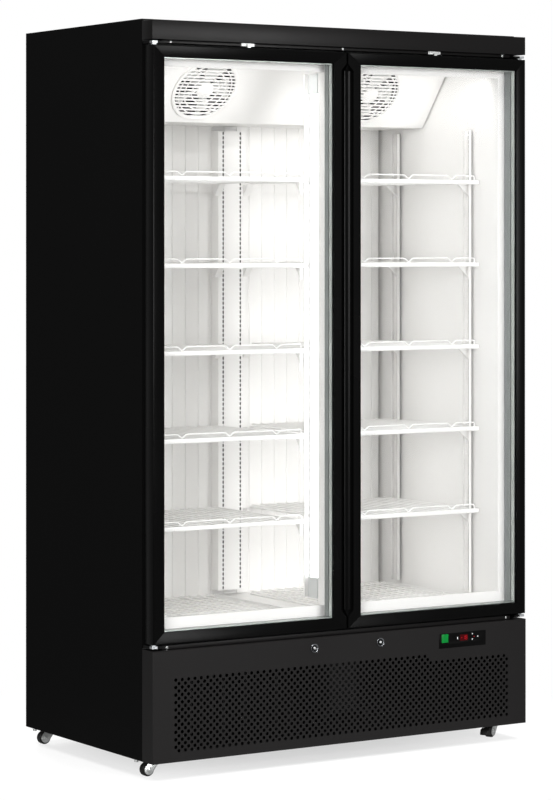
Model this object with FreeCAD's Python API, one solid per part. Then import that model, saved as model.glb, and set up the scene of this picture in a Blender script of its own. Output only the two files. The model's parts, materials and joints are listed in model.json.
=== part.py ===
import FreeCAD, Part
import math
import os

V = FreeCAD.Vector

# Overall size of the cabinet, in millimetres
overall_w = 1220.0
overall_d = 712.0
overall_h = 1990.0
caster_h = 45.0

# Sheet metal and insulated walls
skin = 1.5
liner = 1.2
wall = 56.0
back_wall = 56.0
floor_wall = 60.0
surround_t = 8.0
duct_depth = 17.0

# Heights of the main bands, built up from the lower panel and down from the roof
panel_top = 339.0
deck_drop = 14.0
sill_rise = 31.0
door_sill = 16.0
fascia_drop = 6.0
fascia_h = 50.0
door_head = 14.0
door_over = 52.0
lintel = 46.0

# Front zone: locks stand proud of the doors and the lower panel
lock_proud = 3.0
front_t = 58.0
fascia_setback = 4.0
strip_setback = 24.0
strip_end = 40.0
top_strip_h = 8.0
low_strip_h = 10.0

# Doors
door_side_gap = 2.0
door_gap = 6.0
door_t = 44.0
rail_w = 32.5
meet_w = 41.0
lip = 4.0
unit_t = 22.0
pane_t = 4.0
glass_bite = 10.0
spacer_show = 2.0
grip_r = 20.0
grip_end = 30.0
gasket_w = 12.0
gasket_in = 20.0
gasket_free = 0.3

# Hinges
pin_in = 13.0
pin_back = 23.0
pin_r = 5.0
pin_fit = 0.05
plate_t = 6.0
pin_len = 11.5
pin_enter = 7.8

# Shelves, five tiers in two bays
tiers = 5
first_rise = 260.0
top_room = 158.0
shelf_inner = 50.0
shelf_wall_gap = 14.0
shelf_front = 70.0
shelf_rear = 47.0
bar = 6.0
wire = 4.0
wire_count = 13
guard_rise = 12.0
dip_pitch = 150.0
dip_half = 14.0

# Lower panel, its holes and controls
hole_pitch = 78.0
hole_r = 9.0
hole_side = 60.0
hole_foot = 28.0
hole_head = 40.0
control_side = 304.0
control_w = 161.0
control_drop = 62.0
control_h = 41.0
control_t = 22.0
lock_x = 108.0
lock_drop = 28.0
lock_r = 12.0
lock_wall = 3.0
lock_len = 22.0
plug_r = 7.0
plug_fit = 0.05
plug_in = 1.8
key_clear = 0.4

# Casters
caster_side = 52.0
caster_front = 88.0
caster_rear = 46.0
turned_caster = 28.0
wheel_r = 18.0
wheel_w = 20.0
trail = 20.0
axle_r = 3.0
king_r = 4.0
run_fit = 0.05

# Fans
fan_hole = 92.0
fan_shift = 38.0
fan_shaft = 3.0
cond_side = 310.0
cond_rise = 125.0
cond_fan_r = 90.0
cond_shaft = 4.0

# Positions that follow from the sizes above
half_w = overall_w / 2
y_back = overall_d / 2
y_front = -overall_d / 2 + lock_proud
y_body = y_front + front_t
y_liner = y_back - back_wall
y_wall = y_liner - duct_depth
wall_x = half_w - wall
inner_top = overall_h - skin
box_bottom = panel_top - deck_drop
floor_z = box_bottom + floor_wall
opening_bottom = floor_z + sill_rise
door_bottom = panel_top + door_sill
fascia_top = overall_h - fascia_drop
fascia_bottom = fascia_top - fascia_h
door_top = fascia_bottom - door_head
opening_top = door_top - door_over
ceiling_z = opening_top + lintel
foam_x = wall_x + liner
hinge_x = half_w - door_side_gap - pin_in
hinge_y = y_front + pin_back
shelf_y0 = y_body + shelf_front
shelf_y1 = y_wall - shelf_rear
shelf_depth = shelf_y1 - shelf_y0
shelf_x1 = wall_x - shelf_wall_gap
tier_first = floor_z + first_rise
fan_places = (fan_shift - wall_x / 2, fan_shift + wall_x / 2)
cond_x = -half_w + cond_side
cond_z = caster_h + cond_rise
control_x = half_w - control_side
control_z = panel_top - control_drop
lock_z = panel_top - lock_drop
caster_x = half_w - caster_side


def box(x0, x1, y0, y1, z0, z1):
    return Part.makeBox(x1 - x0, y1 - y0, z1 - z0, V(x0, y0, z0))


def rod(start, axis, length, radius):
    return Part.makeCylinder(radius, length, start, axis)


def prism(points, direction):
    closed = points + [points[0]]
    return Part.Face(Part.makePolygon(closed)).extrude(direction)


# Many-sided bar about the axis direction, flat sides standing for a round
def facet_bar(center, axis, length, radius, sides):
    ring = []
    for step in range(sides):
        turn = 2 * math.pi * (step + 0.5) / sides
        ring.append(V(radius * math.cos(turn), radius * math.sin(turn), 0))
    bar_shape = prism(ring, V(0, 0, length))
    bar_shape.Placement = FreeCAD.Placement(center, FreeCAD.Rotation(V(0, 0, 1), axis))
    return bar_shape


def mirrored(shape):
    return shape.mirror(V(0, 0, 0), V(1, 0, 0))


def both(shape):
    return [shape, mirrored(shape)]


def save(node, solids):
    Part.makeCompound(solids).exportStep("parts/" + node + ".step")


# Outer skin: two sides, top and back
def side_panels():
    return both(box(-half_w, -half_w + skin, y_body, y_back, caster_h, overall_h))


def top_panel():
    return [box(-half_w + skin, half_w - skin, y_body, y_back, overall_h - skin, overall_h)]


def back_panel():
    return [box(-half_w + skin, half_w - skin, y_back - skin, y_back, box_bottom, inner_top)]


# Foam slabs between the outer skin and the liner
def insulation_foam():
    y0 = y_body + surround_t
    y1 = y_back - skin
    sides = both(box(-half_w + skin, -foam_x, y0, y1, box_bottom, inner_top))
    top = box(-foam_x, foam_x, y0, y1, ceiling_z + liner, inner_top)
    bottom = box(-foam_x, foam_x, y0, y1, box_bottom, floor_z - liner)
    back = box(-foam_x, foam_x, y_liner + liner, y1, floor_z - liner, ceiling_z + liner)
    return sides + [top, bottom, back]


# White liner sheets that face the goods
def inner_liner():
    y0 = y_body + surround_t
    y1 = y_liner + liner
    sides = both(box(-foam_x, -wall_x, y0, y1, floor_z - liner, ceiling_z + liner))
    top = box(-wall_x, wall_x, y0, y1, ceiling_z, ceiling_z + liner)
    bottom = box(-wall_x, wall_x, y0, y1, floor_z - liner, floor_z)
    back = box(-wall_x, wall_x, y_liner, y1, floor_z, ceiling_z)
    return sides + [top, bottom, back]


# White frame round the front opening, which the gaskets close on
def front_surround():
    y1 = y_body + surround_t
    sides = both(box(-half_w + skin, -wall_x, y_body, y1, box_bottom, inner_top))
    top = box(-wall_x, wall_x, y_body, y1, opening_top, inner_top)
    bottom = box(-wall_x, wall_x, y_body, y1, box_bottom, opening_bottom)
    return sides + [top, bottom]


mullion_w = 37.0
mullion_t = 30.0
post_w = 30.0
post_t = 53.0
post_end = 14.0
cap_h = 56.0
diffuser_t = 6.0
strip_w = 46.0
strip_t = 6.0
mullion_back = y_body + mullion_t
post_back = mullion_back + post_t


# Middle post between the two doors
def center_mullion():
    post = box(-mullion_w, mullion_w, y_body, mullion_back, opening_bottom, opening_top)
    edges = [e for e in post.Edges if abs(e.tangentAt(0).z) > 0.9 and e.CenterOfMass.y < y_body + 1]
    return [post.makeFillet(3.0, edges)]


# Lamp housing behind the middle post, with a long light on each side
def mullion_lamp():
    z0 = opening_bottom + post_end
    z1 = opening_top - 2.0
    body = box(-post_w, post_w, mullion_back, post_back, z0, z1)
    caps = []
    for low in (z0, z1 - cap_h):
        caps += both(box(-post_w - 8, -post_w, mullion_back + 4, post_back - 4, low, low + cap_h))
    return [body] + caps


def lamp_diffusers():
    z0 = opening_bottom + post_end + cap_h
    z1 = opening_top - 2.0 - cap_h
    y0 = mullion_back + 6
    y1 = post_back - 6
    points = [V(-post_w, y0, z0), V(-post_w - diffuser_t, y0 + 8, z0)]
    points += [V(-post_w - diffuser_t, y1 - 8, z0), V(-post_w, y1, z0)]
    return both(prism(points, V(0, 0, z1 - z0)))


# Flat black header above the doors and the recessed strip below it
def top_fascia():
    y0 = y_front + fascia_setback
    outer = box(-half_w, half_w, y0, y_body, fascia_bottom, fascia_top)
    inner = box(-half_w + skin, half_w - skin, y0 + skin, y_body, fascia_bottom + skin, fascia_top - skin)
    end = half_w - strip_end
    low = fascia_bottom - top_strip_h
    strip = box(-end, end, y_front + strip_setback, y_body, low, fascia_bottom)
    return [outer.cut(inner), strip]


# Sloping evaporator housing under the ceiling
cover_reach = 369.5
cover_foot = 232.5
cover_drop = 175.0
cover_side = 4.0
cover_y0 = y_liner - cover_reach
cover_y1 = y_liner - cover_foot
cover_z1 = ceiling_z - cover_drop
cover_run = math.hypot(cover_y1 - cover_y0, ceiling_z - cover_z1)
cover_mid = V(0, (cover_y0 + cover_y1) / 2, (ceiling_z + cover_z1) / 2)
cover_out = V(0, -(ceiling_z - cover_z1) / cover_run, -(cover_y1 - cover_y0) / cover_run)


# Turns a shape made along local Z so that Z points out of the sloping face
def on_cover(shape, x):
    placed = shape.copy()
    turn = FreeCAD.Rotation(V(0, 0, 1), cover_out)
    placed.Placement = FreeCAD.Placement(cover_mid + V(x, 0, 0), turn).multiply(shape.Placement)
    return placed


def evaporator_cover():
    x = wall_x - cover_side
    lift = skin / -cover_out.y
    bend = lift * (1 + cover_out.z)
    under = V(-x, cover_y1, cover_z1)
    points = [V(-x, cover_y0, ceiling_z), under, V(-x, y_liner, cover_z1)]
    points += [V(-x, y_liner, cover_z1 + skin), V(-x, cover_y1 + bend, cover_z1 + skin)]
    points += [V(-x, cover_y0 + lift, ceiling_z)]
    shell = prism(points, V(2 * x, 0, 0))
    for side in fan_places:
        shell = shell.cut(on_cover(facet_bar(V(0, 0, -4 * skin), V(0, 0, 1), 8 * skin, fan_hole, 24), side))
    return [shell]


# Round fan guards with level slats
guard_t = 4.0
guard_rim = 10.0
guard_inset = 4.0
slat_pitch = 19.0
slat_gap = 12.0


def fan_grilles():
    disc = facet_bar(V(0, 0, 0), V(0, 0, 1), guard_t, fan_hole + guard_rim, 24)
    ring = facet_bar(V(0, 0, 0), V(0, 0, 1), guard_t, fan_hole - guard_inset, 24)
    rows = int((fan_hole - guard_inset) / slat_pitch)
    for step in range(-rows, rows + 1):
        low = V(-fan_hole, step * slat_pitch - slat_gap / 2, 0)
        slot = Part.makeBox(2 * fan_hole, slat_gap, guard_t, low)
        disc = disc.cut(slot.common(ring))
    return [on_cover(disc, x) for x in fan_places]


# Bladed fan on a local Z axis, with a bore for its motor shaft
vane_t = 1.6
vane_root = 3.0


def fan_wheel(radius, hub_r, hub_t, bore, blades, chord, pitch):
    hub = facet_bar(V(0, 0, 0), V(0, 0, 1), hub_t, hub_r, 2 * blades)
    vanes = []
    for step in range(blades):
        root = hub_r - vane_root
        vane = Part.makeBox(radius - root, chord, vane_t, V(root, -chord / 2, -vane_t / 2))
        vane.rotate(V(0, 0, 0), V(1, 0, 0), pitch)
        vane.translate(V(0, 0, hub_t / 2))
        vane.rotate(V(0, 0, 0), V(0, 0, 1), 360.0 * step / blades)
        vanes.append(vane)
    return hub.multiFuse(vanes).cut(Part.makeCylinder(bore, hub_t))


fan_tip = 6.0
fan_hub_r = 24.0
fan_hub_t = 14.0
fan_chord = 34.0
fan_deep = 23.0


def evaporator_fan(x):
    wheel = fan_wheel(fan_hole - fan_tip, fan_hub_r, fan_hub_t, fan_shaft + run_fit, 5, fan_chord, 24)
    wheel.translate(V(0, 0, -fan_deep))
    return [on_cover(Part.Solid(wheel.Solids[0]), x)]


# Motors for the three fans, each with its shaft and bracket
motor_r = 20.0
motor_len = 22.0
motor_gap = 3.0
arm_w = 10.0
arm_t = 3.0
arm_rim = 2.0


def fan_motors():
    solids = []
    face = -fan_deep - motor_gap
    reach = fan_hole + arm_rim + arm_w
    for x in fan_places:
        motor = facet_bar(V(0, 0, face - motor_len), V(0, 0, 1), motor_len, motor_r, 10)
        shaft = Part.makeCylinder(fan_shaft, motor_gap + fan_hub_t - vane_t, V(0, 0, face))
        arm = Part.makeBox(2 * reach, arm_w, arm_t, V(-reach, -arm_w / 2, face - arm_t))
        body = motor.fuse([shaft, arm])
        for end in (-reach, reach - arm_w):
            leg = Part.makeBox(arm_w, arm_w, arm_t - face - skin, V(end, -arm_w / 2, face - arm_t))
            body = body.fuse(leg)
        solids.append(on_cover(body.removeSplitter(), x))
    solids.append(cond_motor())
    return solids


cond_hub_r = 28.0
cond_hub_t = 20.0
cond_chord = 46.0
cond_fan_y = y_body + 125.0
cond_motor_r = 38.0
cond_motor_len = 60.0
cond_motor_gap = 15.0
base_t = 3.0


def cond_motor():
    y = cond_fan_y + cond_hub_t + cond_motor_gap
    motor = facet_bar(V(cond_x, y, cond_z), V(0, 1, 0), cond_motor_len, cond_motor_r, 12)
    tip = cond_fan_y - cond_shaft
    shaft = rod(V(cond_x, tip, cond_z), V(0, 1, 0), y - tip, cond_shaft)
    foot = cond_motor_r * 0.8
    legs = box(cond_x - foot, cond_x + foot, y + foot / 2, y + foot * 1.5, caster_h + base_t, cond_z)
    return motor.fuse([shaft, legs]).removeSplitter()


def condenser_fan():
    wheel = fan_wheel(cond_fan_r, cond_hub_r, cond_hub_t, cond_shaft + run_fit, 5, cond_chord, 30)
    turn = FreeCAD.Rotation(V(1, 0, 0), 90)
    wheel.Placement = FreeCAD.Placement(V(cond_x, cond_fan_y + cond_hub_t, cond_z), turn)
    return [Part.Solid(wheel.Solids[0])]


# Comb of cooling fins on one carrying plate, seen along Y
fin_t = 3.0
fin_root = 6.0


def fin_comb(x0, x1, y0, y1, plate_z, tip_z, pitch):
    side = 1 if tip_z > plate_z else -1
    root = plate_z + fin_root * side
    points = [V(x0, y0, plate_z), V(x0, y0, tip_z)]
    count = int((x1 - x0) / pitch)
    step = (x1 - x0 - fin_t) / count
    for n in range(count):
        x = x0 + n * step + fin_t
        far = x + step - fin_t
        points += [V(x, y0, tip_z), V(x, y0, root), V(far, y0, root), V(far, y0, tip_z)]
    points += [V(x1, y0, tip_z), V(x1, y0, plate_z)]
    return prism(points, V(0, y1 - y0, 0))


# Evaporator coil under the ceiling and condenser coil behind the lower panel
coil_side = 54.0
coil_back = 10.0
coil_depth = 155.0
coil_lift = 14.0
coil_pitch = 60.0
cond_half = 170.0
cond_front = 40.0
cond_depth = 65.0
cond_head = 22.0
cond_pitch = 34.0


def heat_exchangers():
    x = wall_x - coil_side
    y = y_liner - coil_back
    evaporator = fin_comb(-x, x, y - coil_depth, y, ceiling_z, cover_z1 + coil_lift, coil_pitch)
    y = y_body + cond_front
    top = box_bottom - base_t - cond_head
    low = caster_h + base_t
    condenser = fin_comb(cond_x - cond_half, cond_x + cond_half, y, y + cond_depth, low, top, cond_pitch)
    return [evaporator, condenser]


# Ribbed white panel over the rear air duct
duct_side = 12.0
ribs = 25
rib_w = 9.0
rib_h = 2.5


def rear_duct_panel():
    x = wall_x - duct_side
    z0 = floor_z
    z1 = cover_z1
    front = [(-x, y_liner), (-x, y_wall)]
    step = 2 * x / ribs
    crest = rib_w / 3
    for n in range(ribs):
        mid = -x + (n + 0.5) * step
        front += [(mid - rib_w / 2, y_wall), (mid - crest, y_wall - rib_h)]
        front += [(mid + crest, y_wall - rib_h), (mid + rib_w / 2, y_wall)]
    front += [(x, y_wall), (x, y_liner)]
    rear = [(x - skin, y_liner), (x - skin, y_wall + skin), (-x + skin, y_wall + skin), (-x + skin, y_liner)]
    points = [V(px, py, z0) for px, py in front + rear]
    return [prism(points, V(0, 0, z1 - z0))]


# Upright shelf supports on the walls, the rear middle and behind the lamp
pilaster_t = 10.0
pilaster_w = 30.0
post_front = 128.0
post_rear = 93.0
post_foot = 16.0
post_head = 14.0
rear_post_t = 40.0
wall_posts = (y_body + post_front, y_wall - post_rear)
rear_post_y = y_wall - rear_post_t


def pilasters():
    z0 = floor_z + post_foot
    z1 = cover_z1 - post_head
    solids = []
    for y in wall_posts:
        y0 = y - pilaster_w / 2
        solids += both(box(-wall_x, -wall_x + pilaster_t, y0, y0 + pilaster_w, z0, z1))
    solids.append(box(-strip_w, strip_w, rear_post_y, y_wall - rib_h, z0, z1))
    solids.append(box(-strip_w, strip_w, post_back, post_back + strip_t, z0 + 2 * post_foot, z1))
    return solids


tier_pitch = (cover_z1 - top_room - tier_first) / (tiers - 1)


def tier_z(tier):
    return tier_first + tier * tier_pitch


# Pressed triangular brackets that carry each shelf at its four corners
clip_h = 34.0
clip_w = 6.0
clip_reach = 40.0
hook_reach = 26.0
hook_lap = 8.0


def shelf_clips():
    solids = []
    root = -wall_x + pilaster_t
    for tier in range(tiers):
        z1 = tier_z(tier) - bar - wire
        z0 = z1 - clip_h
        for y in wall_posts:
            y0 = y - clip_w / 2
            ring = [V(root, y0, z0), V(root, y0, z1), V(root + clip_reach, y0, z1)]
            solids += both(prism(ring, V(0, clip_w, 0)))
        x0 = -shelf_inner - hook_lap
        x1 = -strip_w + hook_lap
        for y0, reach in ((rear_post_y, -hook_reach), (post_back + strip_t, hook_reach)):
            ring = [V(x0, y0, z0), V(x0, y0, z1), V(x0, y0 + reach, z1)]
            solids += both(prism(ring, V(x1 - x0, 0, 0)))
    return solids


# One wire shelf of the left bay, its top wires ending at height z
def wire_shelf(z):
    x0 = -shelf_x1
    x1 = -shelf_inner
    low = z - bar - wire
    high = z - wire
    solids = [box(x0, x1, shelf_y0, shelf_y0 + bar, low, z)]
    solids.append(box(x0, x1, shelf_y1 - bar, shelf_y1, low, high))
    for x in (x0, x1 - bar):
        solids.append(box(x, x + bar, shelf_y0 + bar, shelf_y1 - bar, low, high))
    for share in (0.35, 0.68):
        y = shelf_y0 + share * shelf_depth
        solids.append(box(x0 + bar, x1 - bar, y, y + bar, low, high))
    step = (x1 - x0 - wire) / (wire_count - 1)
    for n in range(wire_count):
        x = x0 + n * step
        solids.append(box(x, x + wire, shelf_y0 + bar, shelf_y1, high, z))
    return solids


def shelf_tier(tier):
    left = wire_shelf(tier_z(tier))
    return left + [mirrored(s) for s in left]


def base_racks():
    left = wire_shelf(floor_z + bar + wire)
    return left + [mirrored(s) for s in left]


# Bent front guard wire with three V dips that meet the front bar
def shelf_guards():
    solids = []
    x0 = -shelf_x1
    x1 = -shelf_inner
    mid = (x0 + x1) / 2
    for tier in range(tiers):
        z = tier_z(tier)
        high = z + wire + guard_rise
        line = [(x0, z + wire), (x0 + guard_rise, high)]
        for n in (-1, 0, 1):
            x = mid + n * dip_pitch
            line += [(x - dip_half, high), (x, z + wire), (x + dip_half, high)]
        line += [(x1 - guard_rise, high), (x1, z + wire)]
        points = [V(x, shelf_y0, h) for x, h in line]
        points += [V(x, shelf_y0, h - wire) for x, h in reversed(line)]
        solids += both(prism(points, V(0, wire, 0)))
    return solids


# Perforated lower panel folded back at all four edges, with its recessed strip
def front_grille():
    outer = box(-half_w, half_w, y_front, y_body, caster_h, panel_top)
    inner = box(-half_w + skin, half_w - skin, y_front + skin, y_body, caster_h + skin, panel_top - skin)
    pan = outer.cut(inner)
    cuts = []
    hole_low = caster_h + hole_foot
    hole_cols = int((overall_w - 2 * hole_side) / hole_pitch)
    hole_rows = 1 + int((lock_z - hole_head - hole_low) / (hole_pitch / 2))
    for row in range(hole_rows):
        shift = 0.5 if row % 2 else 0.0
        z = hole_low + row * hole_pitch / 2
        for col in range(hole_cols):
            x = (col - (hole_cols - 1) / 2 + shift - 0.25) * hole_pitch
            room = 2 * hole_r
            under_controls = control_x - room < x < control_x + control_w + room
            if under_controls and z > control_z - room:
                continue
            cuts.append(diamond(x, z))
    right = control_x + control_w
    cuts.append(box(control_x, right, y_front, y_front + skin, control_z, control_z + control_h))
    for x in (-lock_x, lock_x):
        cuts.append(facet_bar(V(x, y_front, lock_z), V(0, 1, 0), skin, lock_r - lock_wall, 8))
    end = half_w - strip_end
    strip = box(-end, end, y_front + strip_setback, y_body, panel_top, panel_top + low_strip_h)
    return [pan.cut(Part.makeCompound(cuts)), strip]


def diamond(x, z):
    r = hole_r
    points = [V(x - r, y_front, z), V(x, y_front, z - r), V(x + r, y_front, z), V(x, y_front, z + r)]
    return prism(points, V(0, skin, 0))


# Control panel let into the lower panel
rocker_side = 21.5
rocker_drop = 14.0
rocker_half = 11.5
rocker_clear = 1.0
rocker_sunk = 3.0
rocker_deep = 14.0
rocker_axle = 1.5
window_side = 72.0
window_w = 28.0
window_h = 17.0
window_t = 3.0
window_sunk = 0.5
window_drop = 1.5
key_r = 3.8
key_deep = 8.0
key_proud = 0.8
key_spots = ((63.0, -1.0), (114.0, 7.0), (114.0, -8.0), (133.0, -1.0))
rocker_x = control_x + rocker_side
rocker_y = y_front + rocker_sunk
rocker_z = control_z + control_h - rocker_drop
window_x = control_x + window_side
window_z = rocker_z - window_drop - window_h / 2


def control_bezel():
    back = y_front + control_t
    body = box(control_x, control_x + control_w, y_front, back, control_z, control_z + control_h)
    reach = rocker_half + rocker_clear
    hole = box(rocker_x - reach, rocker_x + reach, y_front, y_front + rocker_deep,
               rocker_z - reach, rocker_z + reach)
    window = box(window_x, window_x + window_w, y_front, y_front + window_t, window_z, window_z + window_h)
    body = body.cut([hole, window])
    for spot in key_spots:
        body = body.cut(key_block(spot, key_r + key_clear, y_front, y_front + key_deep))
    axle = rod(V(rocker_x - reach, rocker_y, rocker_z), V(1, 0, 0), 2 * reach, rocker_axle)
    return [body.fuse(axle)]


# Rocker with a hollowed face, thinner at its foot
def power_switch():
    x0 = rocker_x - rocker_half
    h = rocker_half
    face = 0.4 - rocker_sunk
    foot = h - 2
    line = [(face, -h), (face + 1, 0), (face, h), (rocker_sunk + 1, foot), (rocker_sunk + 1, -foot)]
    points = [V(x0, rocker_y + y, rocker_z + z) for y, z in line]
    paddle = prism(points, V(2 * h, 0, 0))
    bore = rod(V(x0, rocker_y, rocker_z), V(1, 0, 0), 2 * h, rocker_axle + run_fit)
    return [paddle.cut(bore)]


def display_window():
    y0 = y_front + window_sunk
    y1 = y_front + window_t
    return [box(window_x, window_x + window_w, y0, y1, window_z, window_z + window_h)]


def key_block(spot, half, y0, y1):
    x = control_x + spot[0]
    z = rocker_z + spot[1]
    return box(x - half, x + half, y0, y1, z - half, z + half)


def control_key(spot):
    return [key_block(spot, key_r, y_front - key_proud, y_front + key_deep - 2)]


# Door locks in the lower panel
def lock_housings():
    solids = []
    for x in (-lock_x, lock_x):
        y0 = y_front - lock_proud
        flange = facet_bar(V(x, y0, lock_z), V(0, 1, 0), lock_proud, lock_r, 20)
        barrel = facet_bar(V(x, y_front, lock_z), V(0, 1, 0), lock_len, lock_r - lock_wall, 8)
        bore = rod(V(x, y0, lock_z), V(0, 1, 0), lock_len + lock_proud, plug_r)
        solids.append(flange.fuse(barrel).cut(bore))
    return solids


def lock_plug(x):
    y0 = y_front - lock_proud + plug_in
    y1 = y_front + lock_len + 0.4
    plug = rod(V(x, y0, lock_z), V(0, 1, 0), y1 - y0, plug_r - plug_fit)
    slot = box(x - 0.8, x + 0.8, y0, y0 + 4, lock_z - 4, lock_z + 4)
    cam = box(x - 5, x + 22, y1, y1 + 3, lock_z - 5, lock_z + 5)
    return [plug.cut(slot).fuse(cam)]


# Hinge plates with their pins, above and below each door
def hinge_brackets():
    x0 = -half_w + 2
    x1 = -half_w + 36
    solids = []
    for z in (door_top + 4, door_bottom - 4 - plate_t):
        plate = box(x0, x1, hinge_y - 16, y_body, z, z + plate_t)
        way = -1 if z > door_top else 1
        root = z if z > door_top else z + plate_t
        pin = rod(V(-hinge_x, hinge_y, root), V(0, 0, way), pin_len, pin_r)
        collar = box(-hinge_x - 9, -hinge_x + 9, hinge_y - 9, hinge_y + 9, 0, 3.7)
        collar.translate(V(0, 0, root if way > 0 else root - 3.7))
        solids += both(plate.fuse([pin, collar]).removeSplitter())
    return solids


# Small flanged sensors over the middle of each door
def door_sensors():
    solids = []
    y1 = y_front + strip_setback
    mid = (half_w - door_side_gap + door_gap / 2) / 2
    for x in (-mid, mid):
        flange = box(x - 20.5, x + 20.5, y1 - 3, y1, fascia_bottom - 8, fascia_bottom)
        nub = box(x - 5, x + 5, y1 - 10, y1 - 3, door_top + 2, fascia_bottom - 4)
        solids.append(flange.fuse(nub))
    return solids


# Parts of the left door
door_x0 = -half_w + door_side_gap
door_x1 = -door_gap / 2
clear_x0 = door_x0 + rail_w
clear_x1 = door_x1 - meet_w
clear_z0 = door_bottom + rail_w
clear_z1 = door_top - rail_w


def door_frame():
    outer = [(door_x0, door_bottom), (door_x1, door_bottom), (door_x1, door_top), (door_x0, door_top)]
    inner = [(clear_x0, clear_z0), (clear_x1, clear_z0), (clear_x1, clear_z1), (clear_x0, clear_z1)]
    y0 = y_front + lip
    bite = glass_bite
    pocket = box(clear_x0 - bite, clear_x1 + bite, y0, y0 + unit_t, clear_z0 - bite, clear_z1 + bite)
    grip = grip_channel()
    pins = []
    for z, way in ((door_top, -1), (door_bottom, 1)):
        pins.append(rod(V(-hinge_x, hinge_y, z), V(0, 0, way), pin_enter, pin_r + pin_fit))
    rails = []
    for n in range(4):
        m = (n + 1) % 4
        ring = [outer[n], outer[m], inner[m], inner[n]]
        rail = prism([V(x, y_front, z) for x, z in ring], V(0, door_t, 0))
        rails.append(rail.cut([pocket, grip] + pins))
    return rails


# Half-round hand grip that runs down the meeting edges
def grip_channel():
    z0 = door_bottom + grip_end
    z1 = door_top - grip_end
    middle = rod(V(0, y_front, z0), V(0, 0, 1), z1 - z0, grip_r)
    low = Part.makeCone(2, grip_r, grip_r - 2, V(0, y_front, z0 - grip_r + 2))
    high = Part.makeCone(grip_r, 2, grip_r - 2, V(0, y_front, z1))
    return middle.fuse([low, high])


def door_glass():
    bite = glass_bite
    panes = []
    for y in (y_front + lip, y_front + lip + unit_t - pane_t):
        panes.append(box(clear_x0 - bite, clear_x1 + bite, y, y + pane_t, clear_z0 - bite, clear_z1 + bite))
    return panes


def door_spacer():
    bite = glass_bite
    show = spacer_show
    y0 = y_front + lip + pane_t
    y1 = y0 + unit_t - 2 * pane_t
    outer = box(clear_x0 - bite, clear_x1 + bite, y0, y1, clear_z0 - bite, clear_z1 + bite)
    inner = box(clear_x0 + show, clear_x1 - show, y0, y1, clear_z0 + show, clear_z1 - show)
    return [outer.cut(inner)]


def door_gasket():
    y0 = y_front + door_t
    y1 = y_body - gasket_free
    x0 = door_x0 + gasket_in
    x1 = door_x1 - 3
    z0 = door_bottom + 10
    z1 = door_top - 10
    w = gasket_w
    outer = box(x0, x1, y0, y1, z0, z1)
    inner = box(x0 + w, x1 - w, y0, y1, z0 + w, z1 - w)
    return [outer.cut(inner)]


# Machine compartment: floor, deck and corner posts
corner_w = 28.0


def base_frame():
    x = half_w - skin
    y1 = y_back - skin
    low = caster_h + base_t
    high = box_bottom - base_t
    solids = [box(-x, x, y_body, y1, caster_h, low)]
    solids.append(box(-x, x, y_body, y1, high, box_bottom))
    for y in (y_body, y1 - corner_w):
        solids += both(box(-x, -x + corner_w, y, y + corner_w, low, high))
    return solids


comp_side = 370.0
comp_back = 266.0
comp_r = 104.0
comp_h = 144.0
dome_r = 80.0
dome_h = 26.0
comp_plate = 95.0
comp_plate_t = 4.0
comp_foot = 75.0
comp_foot_r = 12.0
comp_foot_h = 12.0


def compressor():
    x = half_w - comp_side
    y = y_back - comp_back
    z = caster_h + base_t
    solids = []
    for dx in (-comp_foot, comp_foot):
        for dy in (-comp_foot, comp_foot):
            solids.append(facet_bar(V(x + dx, y + dy, z), V(0, 0, 1), comp_foot_h, comp_foot_r, 8))
    z += comp_foot_h
    half = comp_plate
    solids.append(box(x - half, x + half, y - half, y + half, z, z + comp_plate_t))
    z += comp_plate_t
    can = facet_bar(V(x, y, z), V(0, 0, 1), comp_h, comp_r, 16)
    dome = facet_bar(V(x, y, z + comp_h), V(0, 0, 1), dome_h, dome_r, 16)
    solids.append(can.fuse(dome))
    return solids


# Slotted cover at the back of the machine compartment
slot_side = 90.0
slot_mid = 40.0
slot_foot = 35.0
slot_pitch = 32.0
slot_h = 10.0


def rear_grille():
    x = half_w - skin
    plate = box(-x, x, y_back - skin, y_back, caster_h, box_bottom)
    slots = []
    room = box_bottom - caster_h - slot_foot - slot_h
    for n in range(int(room / slot_pitch)):
        z = caster_h + slot_foot + n * slot_pitch
        slots += both(box(slot_side - half_w, -slot_mid, y_back - skin, y_back, z, z + slot_h))
    return [plate.cut(Part.makeCompound(slots))]


# Casters: fixed plate with king pin, swivel fork and wheel
caster_spots = {
    "front_left": (-caster_x, y_front + caster_front),
    "front_right": (caster_x, y_front + caster_front),
    "rear_left": (-caster_x, y_back - caster_rear),
    "rear_right": (caster_x, y_back - caster_rear),
}
caster_turns = {"front_right": turned_caster}
crown_z = 2 * wheel_r + 2.0


# Swings a caster piece about its king pin to the way it is left standing
def swung(shape, spot):
    x, y = caster_spots[spot]
    shape.rotate(V(x, y, 0), V(0, 0, 1), caster_turns.get(spot, 0.0))
    return shape


def caster_plates():
    solids = []
    for x, y in caster_spots.values():
        plate = box(x - 29, x + 29, y - 29, y + 29, caster_h - 2.5, caster_h)
        pin = rod(V(x, y, caster_h - 2.5), V(0, 0, -1), caster_h - 2.5 - crown_z + 0.5, king_r)
        solids.append(plate.fuse(pin))
    return solids


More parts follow.
